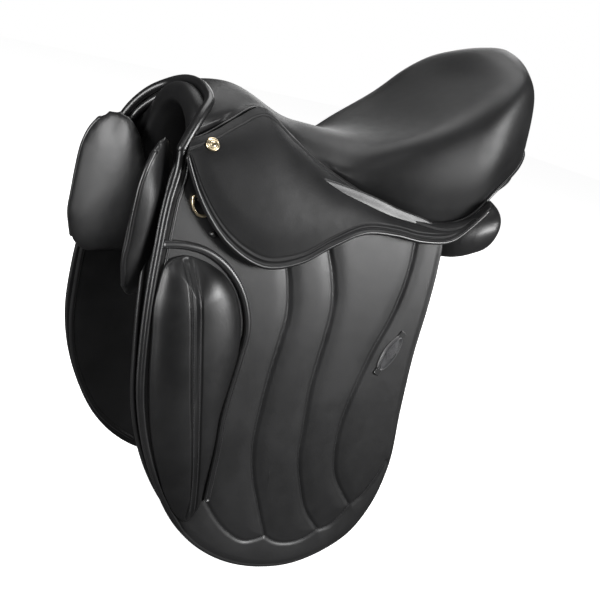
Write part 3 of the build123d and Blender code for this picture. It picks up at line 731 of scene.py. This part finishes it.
def relax(grid, rounds=60):
    """Evens out the seat's surface; the welt line and the two ends of the mid-plane stay put."""
    hold = np.clip(np.arange(grid.shape[1]) / 8, 0, 1)[None, :, None]
    soft = grid
    for _ in range(rounds):
        over = soft[:, -2:-1] * np.array([-1, 1, 1])
        wide = np.concatenate([soft[:, :1], soft, over], axis=1)
        soft = 0.25 * wide[:, :-2] + 0.5 * wide[:, 1:-1] + 0.25 * wide[:, 2:]
        tall = np.concatenate([soft[:1], soft, soft[-2:-1] * np.array([-1, 1, 1])], axis=0)
        soft = 0.25 * tall[:-2] + 0.5 * tall[1:-1] + 0.25 * tall[2:]
        soft[0] = grid[0]
        soft = grid * (1 - hold) + soft * hold
    return soft


def seat_below(grid):
    """Adds the turn of the leather under the welt."""
    first = grid[:, 0]
    out = unit(first - grid[:, 3])
    inside = first + out * 0.2 + np.array([0, 0, -2.0])
    inside[:, 0] *= 0.985
    return np.concatenate([inside[:, None], grid], axis=1)


def build_seat():
    grid = seat_grid()
    near = seat_below(grid)
    rows, columns = near.shape[:2]
    verts = np.vstack([near.reshape(-1, 3), mirror(near.reshape(-1, 3), -1)])
    faces = grid_faces(rows, columns) + flip(grid_faces(rows, columns, start=rows * columns), -1)
    seat = new_object("seat_leather_dome", verts, faces, SEAT_LEATHER, weld=True)
    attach(seat, "root")
    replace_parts(seat, "seat_cover", "seat_foam")
    near_line = [(x + 0.6, y, z - 2.2) for x, y, z in WELT[:-1]]
    welt = tube("seat_welt_cord", near_line + [(0, 287.5, 530)] + [(-x, y, z) for x, y, z in reversed(near_line)], 2.1,
                CORD_LEATHER, count=600, sides=10)
    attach(welt, "root")
    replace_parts(welt, "seat_welt")


# ------------------------------------------------------------------ skirts
SKIRT_TOP = [(68, -206, 472), (62, -180, 482), (52, -150, 499), (46, -122, 512), (48, -85, 492), (55, -48, 470),
             (68, 0, 450), (84, 44, 435), (96, 82, 429), (103, 115, 428), (108, 147, 439), (108, 176, 464)]
SKIRT_LOW = [(-210, 456), (-192, 420), (-158, 382), (-118, 363), (-74, 370), (-38, 391), (0, 409), (40, 411),
             (80, 408), (117, 413), (142, 432), (164, 458)]
SKIRT_STANDOFF = 11
SKIRT_FACE = 1.5             # outer face above the middle of the leather


def skirt_columns(count):
    """Top, middle and lower points of the skirt along its length."""
    rows = []
    for (tx, ty, tz), (by, bz) in zip(SKIRT_TOP, SKIRT_LOW):
        bx = float(flap_x(by, bz)) + SKIRT_STANDOFF
        rows.append((tx + 5, ty, tz - 2, bx - 9, (ty + by) / 2, tz - 0.18 * (tz - bz), bx, by, bz))
    return spline(rows, count).reshape(count, 3, 3)


def skirt_grid(columns, shares):
    t = np.asarray(shares)[None, :, None]
    top, middle, low = (columns[:, None, i] for i in range(3))
    return (1 - t) ** 2 * top + 2 * t * (1 - t) * middle + t * t * low


def grid_normals(grid):
    du = np.gradient(grid, axis=0)
    dv = np.gradient(grid, axis=1)
    n = unit(np.cross(du, dv))
    n[n[..., 0] < 0] *= -1
    return n


def skirt_skin(name, side, part, shares):
    """One part of the skirt between two shares of its height; the cut along the bend line is made in build_skirt."""
    columns = skirt_columns(300)
    grid = skirt_grid(columns, shares)
    normals = grid_normals(grid)
    run = np.concatenate([np.zeros((300, 1)), np.cumsum(np.linalg.norm(np.diff(grid, axis=1), axis=2), axis=1)], axis=1)
    left = run[:, -1:] - run
    band = 1.3 * (1 - smooth(run, 9.0, 10.6)) - 0.5 * np.exp(-((run - 10.8) / 0.9) ** 2)
    hem = -0.75 * np.exp(-((left - 4.6) / 0.8) ** 2) + 0.5 * np.exp(-((left - 7.0) / 1.5) ** 2) \
        - 0.55 * np.exp(-((left - 9.6) / 0.8) ** 2)
    body = 1.2 * smooth(run, 8, 40) * smooth(left, 8, 40)
    height = SKIRT_FACE + band + hem * smooth(run, 12, 18) + body
    outer = grid + normals * height[..., None]
    inner = grid - normals * 1.5
    return outer, inner, grid


def build_skirt(name, side):
    shares = np.concatenate([np.linspace(0, 0.16, 26), np.linspace(0.17, 0.78, 40), np.linspace(0.79, 1, 34)])
    outer, inner, grid = skirt_skin(name, side, "", shares)
    rows, columns = outer.shape[:2]
    bend = grid[..., 2] - (HINGE_FRONT[1] + (HINGE_REAR[1] - HINGE_FRONT[1])
                           * (grid[..., 1] - HINGE_FRONT[0]) / (HINGE_REAR[0] - HINGE_FRONT[0]))
    verts = np.vstack([outer.reshape(-1, 3), inner.reshape(-1, 3)])
    size = rows * columns
    faces = grid_faces(rows, columns) + [tuple(size + i for i in reversed(f)) for f in grid_faces(rows, columns)]
    ring = [r * columns for r in range(rows)] + [(rows - 1) * columns + c for c in range(1, columns)]
    ring += [r * columns + columns - 1 for r in range(rows - 2, -1, -1)] + [c for c in range(columns - 2, 0, -1)]
    for a, b in zip(ring, ring[1:] + ring[:1]):
        faces.append((a, b, b + size, a + size))
    level = np.concatenate([bend.reshape(-1)] * 2)
    for part, keep_up in (("upper", True), ("lower", False)):
        obj = new_object(f"{name}_skirt_{part}", mirror(verts, side), flip(faces, side), SKIRT_LEATHER)
        cut_at_bend(obj, level, 2.0, keep_up)
        if keep_up:
            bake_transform(obj)
            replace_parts(obj, name + "_skirt_root")
        else:
            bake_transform(obj)
            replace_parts(obj, name + "_skirt")
    return grid


def cut_at_bend(obj, level, at, keep_up):
    """Cuts a mesh along the level where its per-vertex height above the bend line is at."""
    y = -66.0
    run = np.array([0, HINGE_REAR[0] - HINGE_FRONT[0], HINGE_REAR[1] - HINGE_FRONT[1]], float)
    normal = np.cross([1, 0, 0], run)
    normal = normal / np.linalg.norm(normal)
    if normal[2] < 0:
        normal = -normal
    place = metre_point(0, y, hinge_z(y) + at)
    bm = bmesh.new()
    bm.from_mesh(obj.data)
    geometry = bm.verts[:] + bm.edges[:] + bm.faces[:]
    bmesh.ops.bisect_plane(bm, geom=geometry, dist=1e-6, plane_co=place, plane_no=Vector(normal),
                           clear_outer=not keep_up, clear_inner=keep_up)
    bm.to_mesh(obj.data)
    bm.free()
    obj.data.update()


def build_skirt_trim(name, side, grid):
    normals = grid_normals(grid)
    low = grid[:, -1]
    n = normals[:, -1]
    edge = low + n * 0.3
    keep = [i for i in range(0, 300, 6) if low[i][2] < hinge_z(low[i][1]) + 1]
    roll = tube(name + "_skirt_roll", edge[keep], 2.3, CORD_LEATHER, count=300, sides=12, side=side)
    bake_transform(roll)
    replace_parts(roll, name + "_skirt_piping")
    above = [i for i in range(0, 300, 6) if low[i][2] >= hinge_z(low[i][1]) - 3]
    front = [i for i in above if i < 150]
    rear = [i for i in above if i >= 150]
    for label, group in (("front", front), ("rear", rear)):
        if len(group) > 2:
            end = tube(f"{name}_skirt_roll_{label}", edge[group], 2.3, CORD_LEATHER, count=60, sides=12, side=side)
            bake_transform(end)


# ------------------------------------------------------------------ knee block
BLOCK_OUTLINE = [(-211, 358), (-221, 326), (-219, 277), (-213, 226), (-202, 178), (-190, 145), (-171, 106), (-152, 82),
                 (-141, 76), (-133, 88), (-130, 126), (-129, 167), (-130, 201), (-126, 234), (-122, 272), (-127, 309),
                 (-137, 332), (-153, 349), (-176, 360), (-197, 363)]
BAND_LINE = [(-222, 371), (-196, 372.5), (-176, 369.5), (-153, 358), (-135, 341), (-122, 319), (-115, 293), (-117, 266),
             (-121, 234), (-124, 200), (-123, 161), (-123, 126), (-123, 100)]
STRIP_LINE = [(-193, 360), (-184, 315), (-178, 278), (-169, 226), (-157, 170), (-146, 120), (-140, 84)]
STRIP_HALF = 4.6
BLOCK_CREST = 17
strip_line = spline(STRIP_LINE, 120)
block_border = spline(BLOCK_OUTLINE, 200, closed=True)


def block_face(y, z):
    """Pillow that rises from its outline to a crest along the sewn strip."""
    p = np.stack([y, z], -1)
    edge, crest = distance(p, block_border), distance(p, strip_line)
    share = edge / np.maximum(edge + np.maximum(crest - STRIP_HALF, 0), 1e-6)
    room = smooth(edge + crest, -4, 46)
    pillow = BLOCK_CREST * room * np.clip(1 - (1 - share) ** 2.4, 0, 1) ** 0.6
    strip = 0.9 * (1 - smooth(crest, STRIP_HALF - 0.6, STRIP_HALF + 0.3)) - 0.9 * np.exp(-((crest - STRIP_HALF - 0.8) / 1.0) ** 2)
    return 2.6 + pillow + strip * smooth(edge, 0.5, 7)


def build_block(name, side):
    body = name + "_flap"
    block = sheet(name + "_knee_block_skin", BLOCK_OUTLINE, (-193, 363), (-141, 76), [(-186, 325), (-170, 230), (-152, 130)],
                  flap_x, block_face, lambda y, z: np.full(np.shape(y), 0.5), BLOCK_LEATHER, side,
                  rings=90, count=260, edge=1.4, power=1.15)
    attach(block, body)
    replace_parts(block, name + "_knee_block")
    band = spline(BAND_LINE, 90)
    t = unit(np.gradient(band, axis=0))
    cross = np.stack([-t[:, 1], t[:, 0]], 1)
    width = 4.3
    rows = []
    for a in np.linspace(0, math.pi, 11):
        w, h = math.cos(a), math.sin(a) ** 0.6
        side_line = band + cross * width * w
        rows.append(np.stack([flap_x(side_line[:, 0], side_line[:, 1]) + 0.2 + 4.2 * h, side_line[:, 0], side_line[:, 1]], 1))
    verts = np.array(rows).transpose(1, 0, 2)
    faces = grid_faces(len(band), 11, closed_columns=True)
    faces += [tuple(range(11)), tuple((len(band) - 1) * 11 + i for i in reversed(range(11)))]
    welt = new_object(name + "_knee_band", mirror(verts.reshape(-1, 3), side), flip(faces, side), CORD_LEATHER)
    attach(welt, body)
    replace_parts(welt, name + "_knee_block_band")
    for label, shift, lift in (("a", 2.1, 4.25), ("b", -2.1, 4.25)):
        line = band + cross * shift
        row = on_flap(line, lift)
        s = stitches(f"{name}_band_stitch_{label}", row[1:-1], flap_normal(line[:, 0], line[:, 1])[1:-1], THREAD,
                     pitch=2.6, length=1.9, side=side)
        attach(s, body)
    t = unit(np.gradient(strip_line, axis=0))
    cross = np.stack([-t[:, 1], t[:, 0]], 1)
    for label, shift in (("a", 3.2), ("b", -3.2)):
        line = strip_line + cross * shift
        inside = [i for i in range(4, 116)]
        line = line[inside]
        row = on_flap(line, block_face(line[:, 0], line[:, 1]) + 0.05)
        s = stitches(f"{name}_strip_stitch_{label}", row, flap_normal(line[:, 0], line[:, 1]), THREAD, pitch=2.8,
                     length=2.0, side=side)
        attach(s, body)


# ------------------------------------------------------------------ badge, studs, dee
BADGE_ENDS = ((89, 299), (63, 247))
BADGE_HALF_WIDTH = 9.5


def build_badge(name, side):
    """Plain lens-shaped badge: base leather with two end tabs, raised border and a woven lozenge field."""
    body = name + "_flap"
    top, bottom = (np.array(p, float) for p in BADGE_ENDS)
    centre, half = (top + bottom) / 2, np.linalg.norm(top - bottom) / 2
    axis = unit(top - bottom)
    cross = np.array([-axis[1], axis[0]])

    def lens(long, wide, count=40):
        a = np.linspace(0, 2 * math.pi, count, endpoint=False)
        r = np.stack([long * np.sign(np.cos(a)) * np.abs(np.cos(a)) ** 1.2, wide * np.sin(a)], 1)
        return centre + r[:, :1] * axis + r[:, 1:] * cross

    def plate(label, outline, height, material, edge):
        piece = sheet(f"{name}_badge_{label}", outline, tuple(outline[0]), tuple(outline[len(outline) // 2]),
                      [tuple(outline.mean(axis=0) + axis * 3), tuple(outline.mean(axis=0) - axis * 3)], flap_x,
                      lambda y, z: np.full(np.shape(y), height), lambda y, z: np.full(np.shape(y), 0.0), material, side,
                      rings=12, count=60, edge=edge)
        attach(piece, body)
        return piece
    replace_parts(plate("base", lens(half - 5, BADGE_HALF_WIDTH), 2.6, BADGE_LEATHER, 1.0), name + "_flap_badge")
    for label, sign in (("upper", 1), ("lower", -1)):
        middle = centre + axis * sign * (half - 4)
        corners = [(4.5, 0), (4, 3.6), (0, 4.2), (-4, 3.6), (-4.5, 0), (-4, -3.6), (0, -4.2), (4, -3.6)]
        plate(f"tab_{label}", np.array([middle + axis * u + cross * v for u, v in corners]), 3.0, ENAMEL, 0.8)
    for label, inset, radius in (("outer", 1.4, 0.85), ("inner", 3.6, 0.5)):
        ring = lens(half - 6 - inset, BADGE_HALF_WIDTH - inset)
        hoop = tube(f"{name}_badge_{label}", on_flap(ring, 3.0), radius, BADGE_LEATHER, count=120, sides=8, side=side,
                    closed=True)
        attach(hoop, body)
    number = 0
    for slant in (1, -1):
        direction = unit(axis + slant * 0.8 * cross)
        for shift in (-8, -4, 0, 4, 8):
            start = centre + axis * shift
            reach = [k for k in np.linspace(-9, 9, 73)
                     if abs((k * direction + axis * shift) @ axis) / (half - 10.5)
                     + abs((k * direction + axis * shift) @ cross) / (BADGE_HALF_WIDTH - 3.6) < 1]
            if len(reach) < 8:
                continue
            rib = np.array([start + direction * k for k in (reach[0], (reach[0] + reach[-1]) / 2, reach[-1])])
            number += 1
            cord = tube(f"{name}_badge_rib_{number}", on_flap(rib, 2.7), 0.45, BADGE_LEATHER, count=16, sides=6, side=side)
            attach(cord, body)


def disc(name, base, normal, rings, material, side=1, count=48):
    """Turned shape: rings is a list of (radius, height)."""
    n = unit(np.array(normal, float))
    guess = np.array([0, 0, 1.0])
    u = unit(np.cross(guess, n))
    v = np.cross(n, u)
    a = np.linspace(0, 2 * math.pi, count, endpoint=False)
    verts = [np.array(base) + n * h + np.outer(np.cos(a) * r, u) + np.outer(np.sin(a) * r, v) for r, h in rings]
    faces = grid_faces(len(rings), count, closed_columns=True)
    faces += [tuple(reversed(range(count))), tuple((len(rings) - 1) * count + i for i in range(count))]
    return new_object(name, mirror(np.vstack(verts), side), flip(faces, side), material)


def build_studs(name, side, grid):
    normals = grid_normals(grid)
    low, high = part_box("pommel_studs")
    target = np.array([high.x * 1000, (low.y + high.y) * 500 - SHIFT_Y, (low.z + high.z) * 500 - SHIFT_Z])
    i, j = np.unravel_index(np.argmin(np.linalg.norm(grid - (target - np.array([5.0, 0, 0])), axis=2)), grid.shape[:2])
    n = normals[i, j]
    here = grid[i, j] + n * 2.2
    rings = [(7.0, -0.6), (7.2, 0.4), (7.1, 1.1), (6.6, 1.7), (6.1, 1.85), (5.7, 1.7), (5.5, 1.35), (5.2, 1.3), (4.6, 1.55),
             (3.4, 1.95), (3.1, 1.7), (2.9, 1.95), (1.6, 2.15), (0.3, 2.25)]
    stud = disc(name + "_brass_stud", here, n, rings, BRASS, side)
    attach(stud, "root")
    return stud


def build_small_stud(name, side):
    y, z = -170, 386
    n = flap_normal(np.array([y]), np.array([z]))[0]
    base = on_flap(np.array([[y, z]]), 0.4)[0]
    rings = [(3.5, 0), (3.6, 0.6), (3.5, 1.2), (3.3, 2.6), (2.9, 3.9), (2.0, 5.0), (1.0, 5.5), (0.2, 5.6)]
    stud = disc(name + "_dome_stud", base, n, rings, ENAMEL, side)
    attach(stud, name + "_flap")
    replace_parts(stud, name + "_flap_stud")


def build_dee(name, side):
    y, z = -184, 414
    n = flap_normal(np.array([y]), np.array([z]))[0]
    along = unit(np.array([0, 1.0, 0]) - n * n[1])
    up = np.cross(n, along)
    if up[2] < 0:
        up = -up
    base = on_flap(np.array([[y, z]]), 0)[0]
    a = np.linspace(math.pi, 2 * math.pi, 22)
    ring = [(math.cos(t) * 11.2, 2.0 + math.sin(t) * 14.2) for t in a]
    ring = ring + [(11.4, 5.2), (9.8, 6.5)] + [(x, 6.6) for x in (6, 2, -2, -6)] + [(-9.8, 6.5), (-11.4, 5.2)]
    path = [base + along * u + up * v + n * 2.6 for u, v in ring]
    dee = tube(name + "_dee", path, 1.65, BRASS, count=160, sides=14, side=side, closed=True)
    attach(dee, name + "_dee_ring")
    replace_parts(dee, name + "_dee_ring")
    loop = [base + up * v + n * h for v, h in ((23, 0.9), (16, 1.0), (9, 1.2), (4, 1.3), (2.4, 2.6), (4, 4.4), (9, 4.6),
                                               (16, 4.2), (23, 3.6))]
    line = spline(loop, 70)
    t = unit(np.gradient(line, axis=0))
    out = np.cross(along, t)
    rows = []
    for w, h in ((-7, 0), (-6.6, 0.6), (-5.5, 0.75), (0, 0.8), (5.5, 0.75), (6.6, 0.6), (7, 0), (6.6, -0.6), (0, -0.7), (-6.6, -0.6)):
        rows.append(line + along * w + out * h)
    verts = np.array(rows).transpose(1, 0, 2)
    faces = grid_faces(len(line), 10, closed_columns=True)
    faces += [tuple(range(10)), tuple((len(line) - 1) * 10 + i for i in reversed(range(10)))]
    chape = new_object(name + "_dee_loop", mirror(verts.reshape(-1, 3), side), flip(faces, side), STRAP_LEATHER)
    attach(chape, name + "_flap")
    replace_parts(chape, name + "_dee_chape")


# ------------------------------------------------------------------ sweat flap, straps
SWEAT_OUTLINE = [(-220, 425), (-226, 400), (-229, 362), (-229, 312), (-226, 262), (-220, 211), (-208, 168),
                 (-188, 126), (-150, 76), (-100, 40), (-40, 24), (40, 30), (90, 70), (106, 140), (100, 260),
                 (106, 360), (100, 388), (0, 400), (-100, 411), (-180, 421)]


def build_sweat_flap(name, side):
    border = spline(SWEAT_OUTLINE, 220, closed=True)

    def face(y, z):
        edge = distance(np.stack([y, z], -1), border)
        return -17.0 - 0.5 * np.exp(-((edge - 5.0) / 0.9) ** 2) + 0.5 * smooth(edge, 8, 60)
    skin = sheet(name + "_sweat_flap_skin", SWEAT_OUTLINE, (-60, 408), (-20, 25), [(-60, 350), (-60, 130)], flap_x, face,
                 lambda y, z: np.full(np.shape(y), -20.0), FLAP_LEATHER, side, rings=40, count=200, edge=1.5)
    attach(skin, "root")
    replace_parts(skin, name + "_sweat_flap")
    edge = SWEAT_OUTLINE[:10]
    roll = tube(name + "_sweat_roll", [(flap_x(y, z) - 18.2, y + 1.8, z) for y, z in edge], 2.9, CORD_LEATHER, count=220,
                sides=12, side=side)
    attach(roll, "root")


def strap(name, body, replaced, centre, low, high, width, layer, holes, side):
    """Flat strap on the flap's inner layers with a pointed end, edge crease and holes."""
    half = width / 2
    inner, outer = layer
    out = [(centre - half, high), (centre - half, (high + low) / 2), (centre - half, low + 16), (centre - half + 3, low + 6),
           (centre, low + 0.5), (centre + half - 3, low + 6), (centre + half, low + 16), (centre + half, (high + low) / 2),
           (centre + half, high), (centre, high + 0.2)]
    border = spline(out, 160, closed=True)
    spots = [(centre, low + 34 + 25 * i) for i in range(holes)]

    def face(y, z):
        edge = distance(np.stack([y, z], -1), border)
        dent = 0
        for hy, hz in spots:
            dent = dent + 1.6 * (1 - smooth(np.hypot(y - hy, z - hz), 1.6, 2.6))
        return outer - 0.35 * np.exp(-((edge - 2.6) / 0.6) ** 2) - dent
    piece = sheet(name, out, (centre, high), (centre, low), [(centre, high - 10), (centre, low + 10)], flap_x, face,
                  lambda y, z: np.full(np.shape(y), inner), STRAP_LEATHER, side, rings=22, count=260, edge=0.9, power=1.0)
    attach(piece, body)
    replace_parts(piece, replaced)


def build_straps(name, side):
    for place, centre in (("front", -72), ("rear", 14)):
        strap(f"{name}_{place}_billet_strap", f"{name}_{place}_billet", f"{name}_{place}_billet", centre, 66, 396, 25,
              (-14.5, -11), 8, side)
    guard = [(-94, 336), (-92, 352), (-80, 365), (-29, 366), (22, 365), (34, 352), (36, 336), (34, 320), (22, 307),
             (-29, 306), (-80, 307), (-92, 320)]
    border = spline(guard, 160, closed=True)

    def face(y, z):
        edge = distance(np.stack([y, z], -1), border)
        return -7.0 - 0.4 * np.exp(-((edge - 4.0) / 0.8) ** 2)
    piece = sheet(name + "_buckle_guard_skin", guard, (-29, 367), (-29, 305), [(-60, 336), (2, 336)], flap_x, face,
                  lambda y, z: np.full(np.shape(y), -9.0), STRAP_LEATHER, side, rings=16, count=90, edge=1.0)
    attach(piece, "root")
    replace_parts(piece, name + "_buckle_guard")


# ------------------------------------------------------------------ panels
PANEL = table([(-252, 84, 384, 46, 4, 91), (-247, 80, 384, 66, 7.5, 91), (-240, 73, 385, 79, 11, 91),
               (-232, 65, 387, 84, 13, 90), (-224, 57, 388, 84, 14, 87), (-212, 51, 384, 76, 15, 83),
               (-190, 51, 367, 60, 15, 80),
               (-140, 51, 382, 42, 15, 76), (-80, 54, 396, 33, 15, 60), (0, 58, 402, 26, 15, 30),
               (80, 62, 402, 27, 16, 20), (115, 65, 406, 27, 19, 18), (150, 76, 412, 36, 29, 16),
               (185, 78, 424, 40, 32, 14), (210, 76, 432, 34, 28, 10), (222, 72, 436, 18, 14, 8)])


PANEL_SHRINK, PANEL_SWELL = 1.0, 4.5


def panel_mesh(name, side, shrink=0.0):
    rows = []
    ys = np.concatenate([np.linspace(-252, -222, 26), np.linspace(-219, 205, 110), np.linspace(208, 222, 10)])
    a = np.linspace(0, 2 * math.pi, 72, endpoint=False)
    for y in ys:
        cx, cz, long, thick, slope = PANEL(y)[0]
        long, thick = max(long - shrink, 3), max(thick - shrink, 2.5)
        s = math.radians(slope)
        u = np.array([math.cos(s), 0, -math.sin(s)])
        v = np.array([math.sin(s), 0, math.cos(s)])
        c, d = np.cos(a), np.sin(a)
        blunt = 0.68 + 0.24 * float(smooth(y, -238, -195))
        rows.append(np.array([cx, y, cz]) + np.outer(np.sign(c) * np.abs(c) ** blunt * long, u)
                    + np.outer(np.sign(d) * np.abs(d) ** 0.75 * thick, v))
    ends = []
    for row, out in ((rows[0], -0.5), (rows[-1], 1)):
        centre = row.mean(axis=0)
        steps = [(0.9, 2.0), (0.65, 4.0), (0.3, 5.0), (0.02, 5.2)]
        ends.append([centre + (row - centre) * k + np.array([0, out * h, 0]) for k, h in steps])
    rows = ends[0][::-1] + rows + ends[1]
    faces = grid_faces(len(rows), 72, closed_columns=True)
    last = (len(rows) - 1) * 72
    faces += [tuple(range(72)), tuple(last + i for i in reversed(range(72)))]
    return new_object(name, mirror(np.vstack(rows), side), flip(faces, -side), PANEL_LEATHER)


def build_panel_piping(panel, name, side):
    """Two cords along the front edge of the panel, where its face meets its gusset."""
    skin = np.empty(len(panel.data.vertices) * 3)
    panel.data.vertices.foreach_get("co", skin)
    skin = skin.reshape(-1, 3) * 1000 - np.array([0, SHIFT_Y, SHIFT_Z])
    skin = skin[skin[:, 1] < -216]
    low, high = skin[:, 2].min(), skin[:, 2].max()
    for label, way, radius in (("outer", (0.8, -0.6, 0), 2.6), ("inner", (0.15, -0.99, 0), 1.5)):
        line = []
        for z in np.linspace(low + 5, high - 5, 34):
            near = skin[np.abs(skin[:, 2] - z) < 3.5]
            line.append(near[np.argmax(near @ np.array(way))])
        line = np.array(line)
        for _ in range(6):
            line[1:-1] = (line[:-2] + 2 * line[1:-1] + line[2:]) / 4
        line[[0, -1]] += 0.12 * (skin.mean(axis=0) - line[[0, -1]])
        cord = tube(f"{name}_panel_cord_{label}", line, radius, CORD_LEATHER, count=150, sides=12, side=side)
        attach(cord, "root")


def build_panels():
    near = puff(panel_mesh("near_panel_skin", 1, PANEL_SHRINK), PANEL_SWELL)
    for side_name, panel in (("near", near), ("off", mirrored(near, "off_panel_skin"))):
        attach(panel, "root")
        build_panel_piping(near, side_name, 1 if panel is near else -1)
        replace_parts(panel, side_name + "_panel")


# ------------------------------------------------------------------ underside of the cantle
CANTLE_RIM = table([(130, 450), (162, 452), (184, 468), (230, 502), (258, 540), (277, 552)])
LINING_TILT = math.tan(math.radians(25))


def build_cantle_lining():
    """Leather that closes the seat from below, up to the band under the cantle."""
    turn = np.linspace(0, math.pi, 161)
    share = np.concatenate([np.linspace(0.02, 0.93, 40), np.linspace(0.94, 1.0, 12)])
    a, k = np.meshgrid(turn, share, indexing="ij")
    x, y = 99.5 * k * np.cos(a), 142 + 134 * k * np.sin(a)
    flat = 460 + (y - 157) * LINING_TILT
    rim = CANTLE_RIM(y.reshape(-1)).reshape(y.shape)
    z = flat + (np.maximum(rim, flat) - flat) * smooth(k, 0.93, 1.0)
    verts = np.stack([x, y, z], -1)
    lining = new_object("cantle_lining", verts.reshape(-1, 3), grid_faces(*a.shape), PANEL_LEATHER)
    thick = lining.modifiers.new("thickness", "SOLIDIFY")
    thick.thickness, thick.offset = 0.0016, 0.0
    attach(lining, "root")


# ------------------------------------------------------------------ carried-over CAD parts
CAD_LOOKS = {"black_leather": STRAP_LEATHER, "brass": BRASS, "black_enamel": ENAMEL, "beech": BEECH, "webbing": WEB_TAPE,
             "foam": WEB_TAPE, "steel": STEEL}


def dress_cad():
    slots = {row["node"]: row["material_slot"] for row in frame["record"]["subparts"]}
    for name, obj in frame["nodes"].items():
        obj.data.materials.clear()
        obj.data.materials.append(CAD_LOOKS[slots[name]])


# ------------------------------------------------------------------ build
dress_cad()
build_seat()
build_rim()
build_pommel_cover()
build_panels()
build_cantle_lining()
studs = []
for side_name, side_sign in SIDES:
    build_flap(side_name, side_sign)
    build_edge_rolls(side_name, side_sign)
    skirt = build_skirt(side_name, side_sign)
    build_skirt_trim(side_name, side_sign, skirt)
    studs.append(build_studs(side_name, side_sign, skirt))
    build_block(side_name, side_sign)
    build_badge(side_name, side_sign)
    build_small_stud(side_name, side_sign)
    build_dee(side_name, side_sign)
    build_sweat_flap(side_name, side_sign)
    build_straps(side_name, side_sign)
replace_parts(studs[0], "pommel_studs")


# ------------------------------------------------------------------ floor, light, camera
def build_stage():
    mesh = bpy.data.meshes.new("floor")
    r = 6.0
    mesh.from_pydata([(-r, -r, -0.003), (r, -r, -0.003), (r, r, -0.003), (-r, r, -0.003)], [], [(0, 1, 2, 3)])
    floor = bpy.data.objects.new("floor", mesh)
    bpy.context.scene.collection.objects.link(floor)
    m, t, shader = base_material("pale_floor")
    shader.inputs["Roughness"].default_value = 0.9
    seen = t.nodes.new("ShaderNodeLightPath")
    link(t, mix_color(t, seen.outputs["Is Camera Ray"], (0.08, 0.08, 0.08, 1), (0.9, 0.9, 0.9, 1)),
         shader.inputs["Base Color"])
    glow = t.nodes.new("ShaderNodeMath")
    glow.operation = "MULTIPLY"
    link(t, seen.outputs["Is Camera Ray"], glow.inputs[0])
    glow.inputs[1].default_value = 0.90
    shader.inputs["Emission Color"].default_value = (1, 1, 1, 1)
    link(t, glow.outputs[0], shader.inputs["Emission Strength"])
    mesh.materials.append(m)
    world = bpy.data.worlds.new("studio")
    bpy.context.scene.world = world
    world.use_nodes = True
    w = world.node_tree
    background = w.nodes["Background"]
    background.inputs[0].default_value = (1.0, 1.0, 1.0, 1)
    seen = w.nodes.new("ShaderNodeLightPath")
    level = w.nodes.new("ShaderNodeMapRange")
    level.inputs[3].default_value = 0.07
    level.inputs[4].default_value = 1.0
    link(w, seen.outputs["Is Camera Ray"], level.inputs[0])
    link(w, level.outputs[0], background.inputs[1])


def area_light(name, place, target, size, power):
    data = bpy.data.lights.new(name, "AREA")
    data.shape = "RECTANGLE"
    data.size, data.size_y = size
    data.energy = power
    obj = bpy.data.objects.new(name, data)
    bpy.context.scene.collection.objects.link(obj)
    obj.location = place
    direction = Vector(target) - Vector(place)
    obj.rotation_mode = "QUATERNION"
    obj.rotation_quaternion = direction.to_track_quat("-Z", "Y")
    return obj


CAMERA_AIM = (0, 10, 320)
CAMERA_AZIMUTH = 53.3
CAMERA_ELEVATION = 15.2
CAMERA_ROLL = 14.8
CAMERA_DISTANCE = 1053


def build_camera():
    az, el, roll = (math.radians(v) for v in (CAMERA_AZIMUTH, CAMERA_ELEVATION, CAMERA_ROLL))
    back = Vector((math.sin(az) * math.cos(el), -math.cos(az) * math.cos(el), math.sin(el)))
    right = Vector((math.cos(az), math.sin(az), 0))
    up = back.cross(right)
    across = right * math.cos(roll) + up * math.sin(roll)
    above = up * math.cos(roll) - right * math.sin(roll)
    data = bpy.data.cameras.new("camera")
    camera = bpy.data.objects.new("camera", data)
    bpy.context.scene.collection.objects.link(camera)
    place = metre_point(*CAMERA_AIM) + back * (CAMERA_DISTANCE / 1000)
    camera.matrix_world = Matrix(((across.x, above.x, back.x, place.x), (across.y, above.y, back.y, place.y),
                                  (across.z, above.z, back.z, place.z), (0, 0, 0, 1)))
    data.lens = 52.4
    data.shift_x = 0.0075
    data.shift_y = -0.045
    bpy.context.scene.camera = camera


build_stage()
area_light("side", (2.0, 1.45, 1.0), (0.1, 0, 0.35), (0.9, 0.9), 78)
area_light("key", (1.5, -1.1, 2.0), (0.1, 0, 0.3), (0.9, 0.9), 9)
area_light("top", (-0.3, 0.3, 2.1), (0, 0, 0.45), (1.5, 1.5), 24)
area_light("front", (0.7, -2.3, 0.7), (0, 0, 0.35), (0.9, 1.2), 52)
area_light("rear", (-1.6, 1.5, 1.3), (0, 0, 0.4), (1.2, 1.2), 11)
build_camera()
bpy.context.scene.view_settings.view_transform = "Standard"
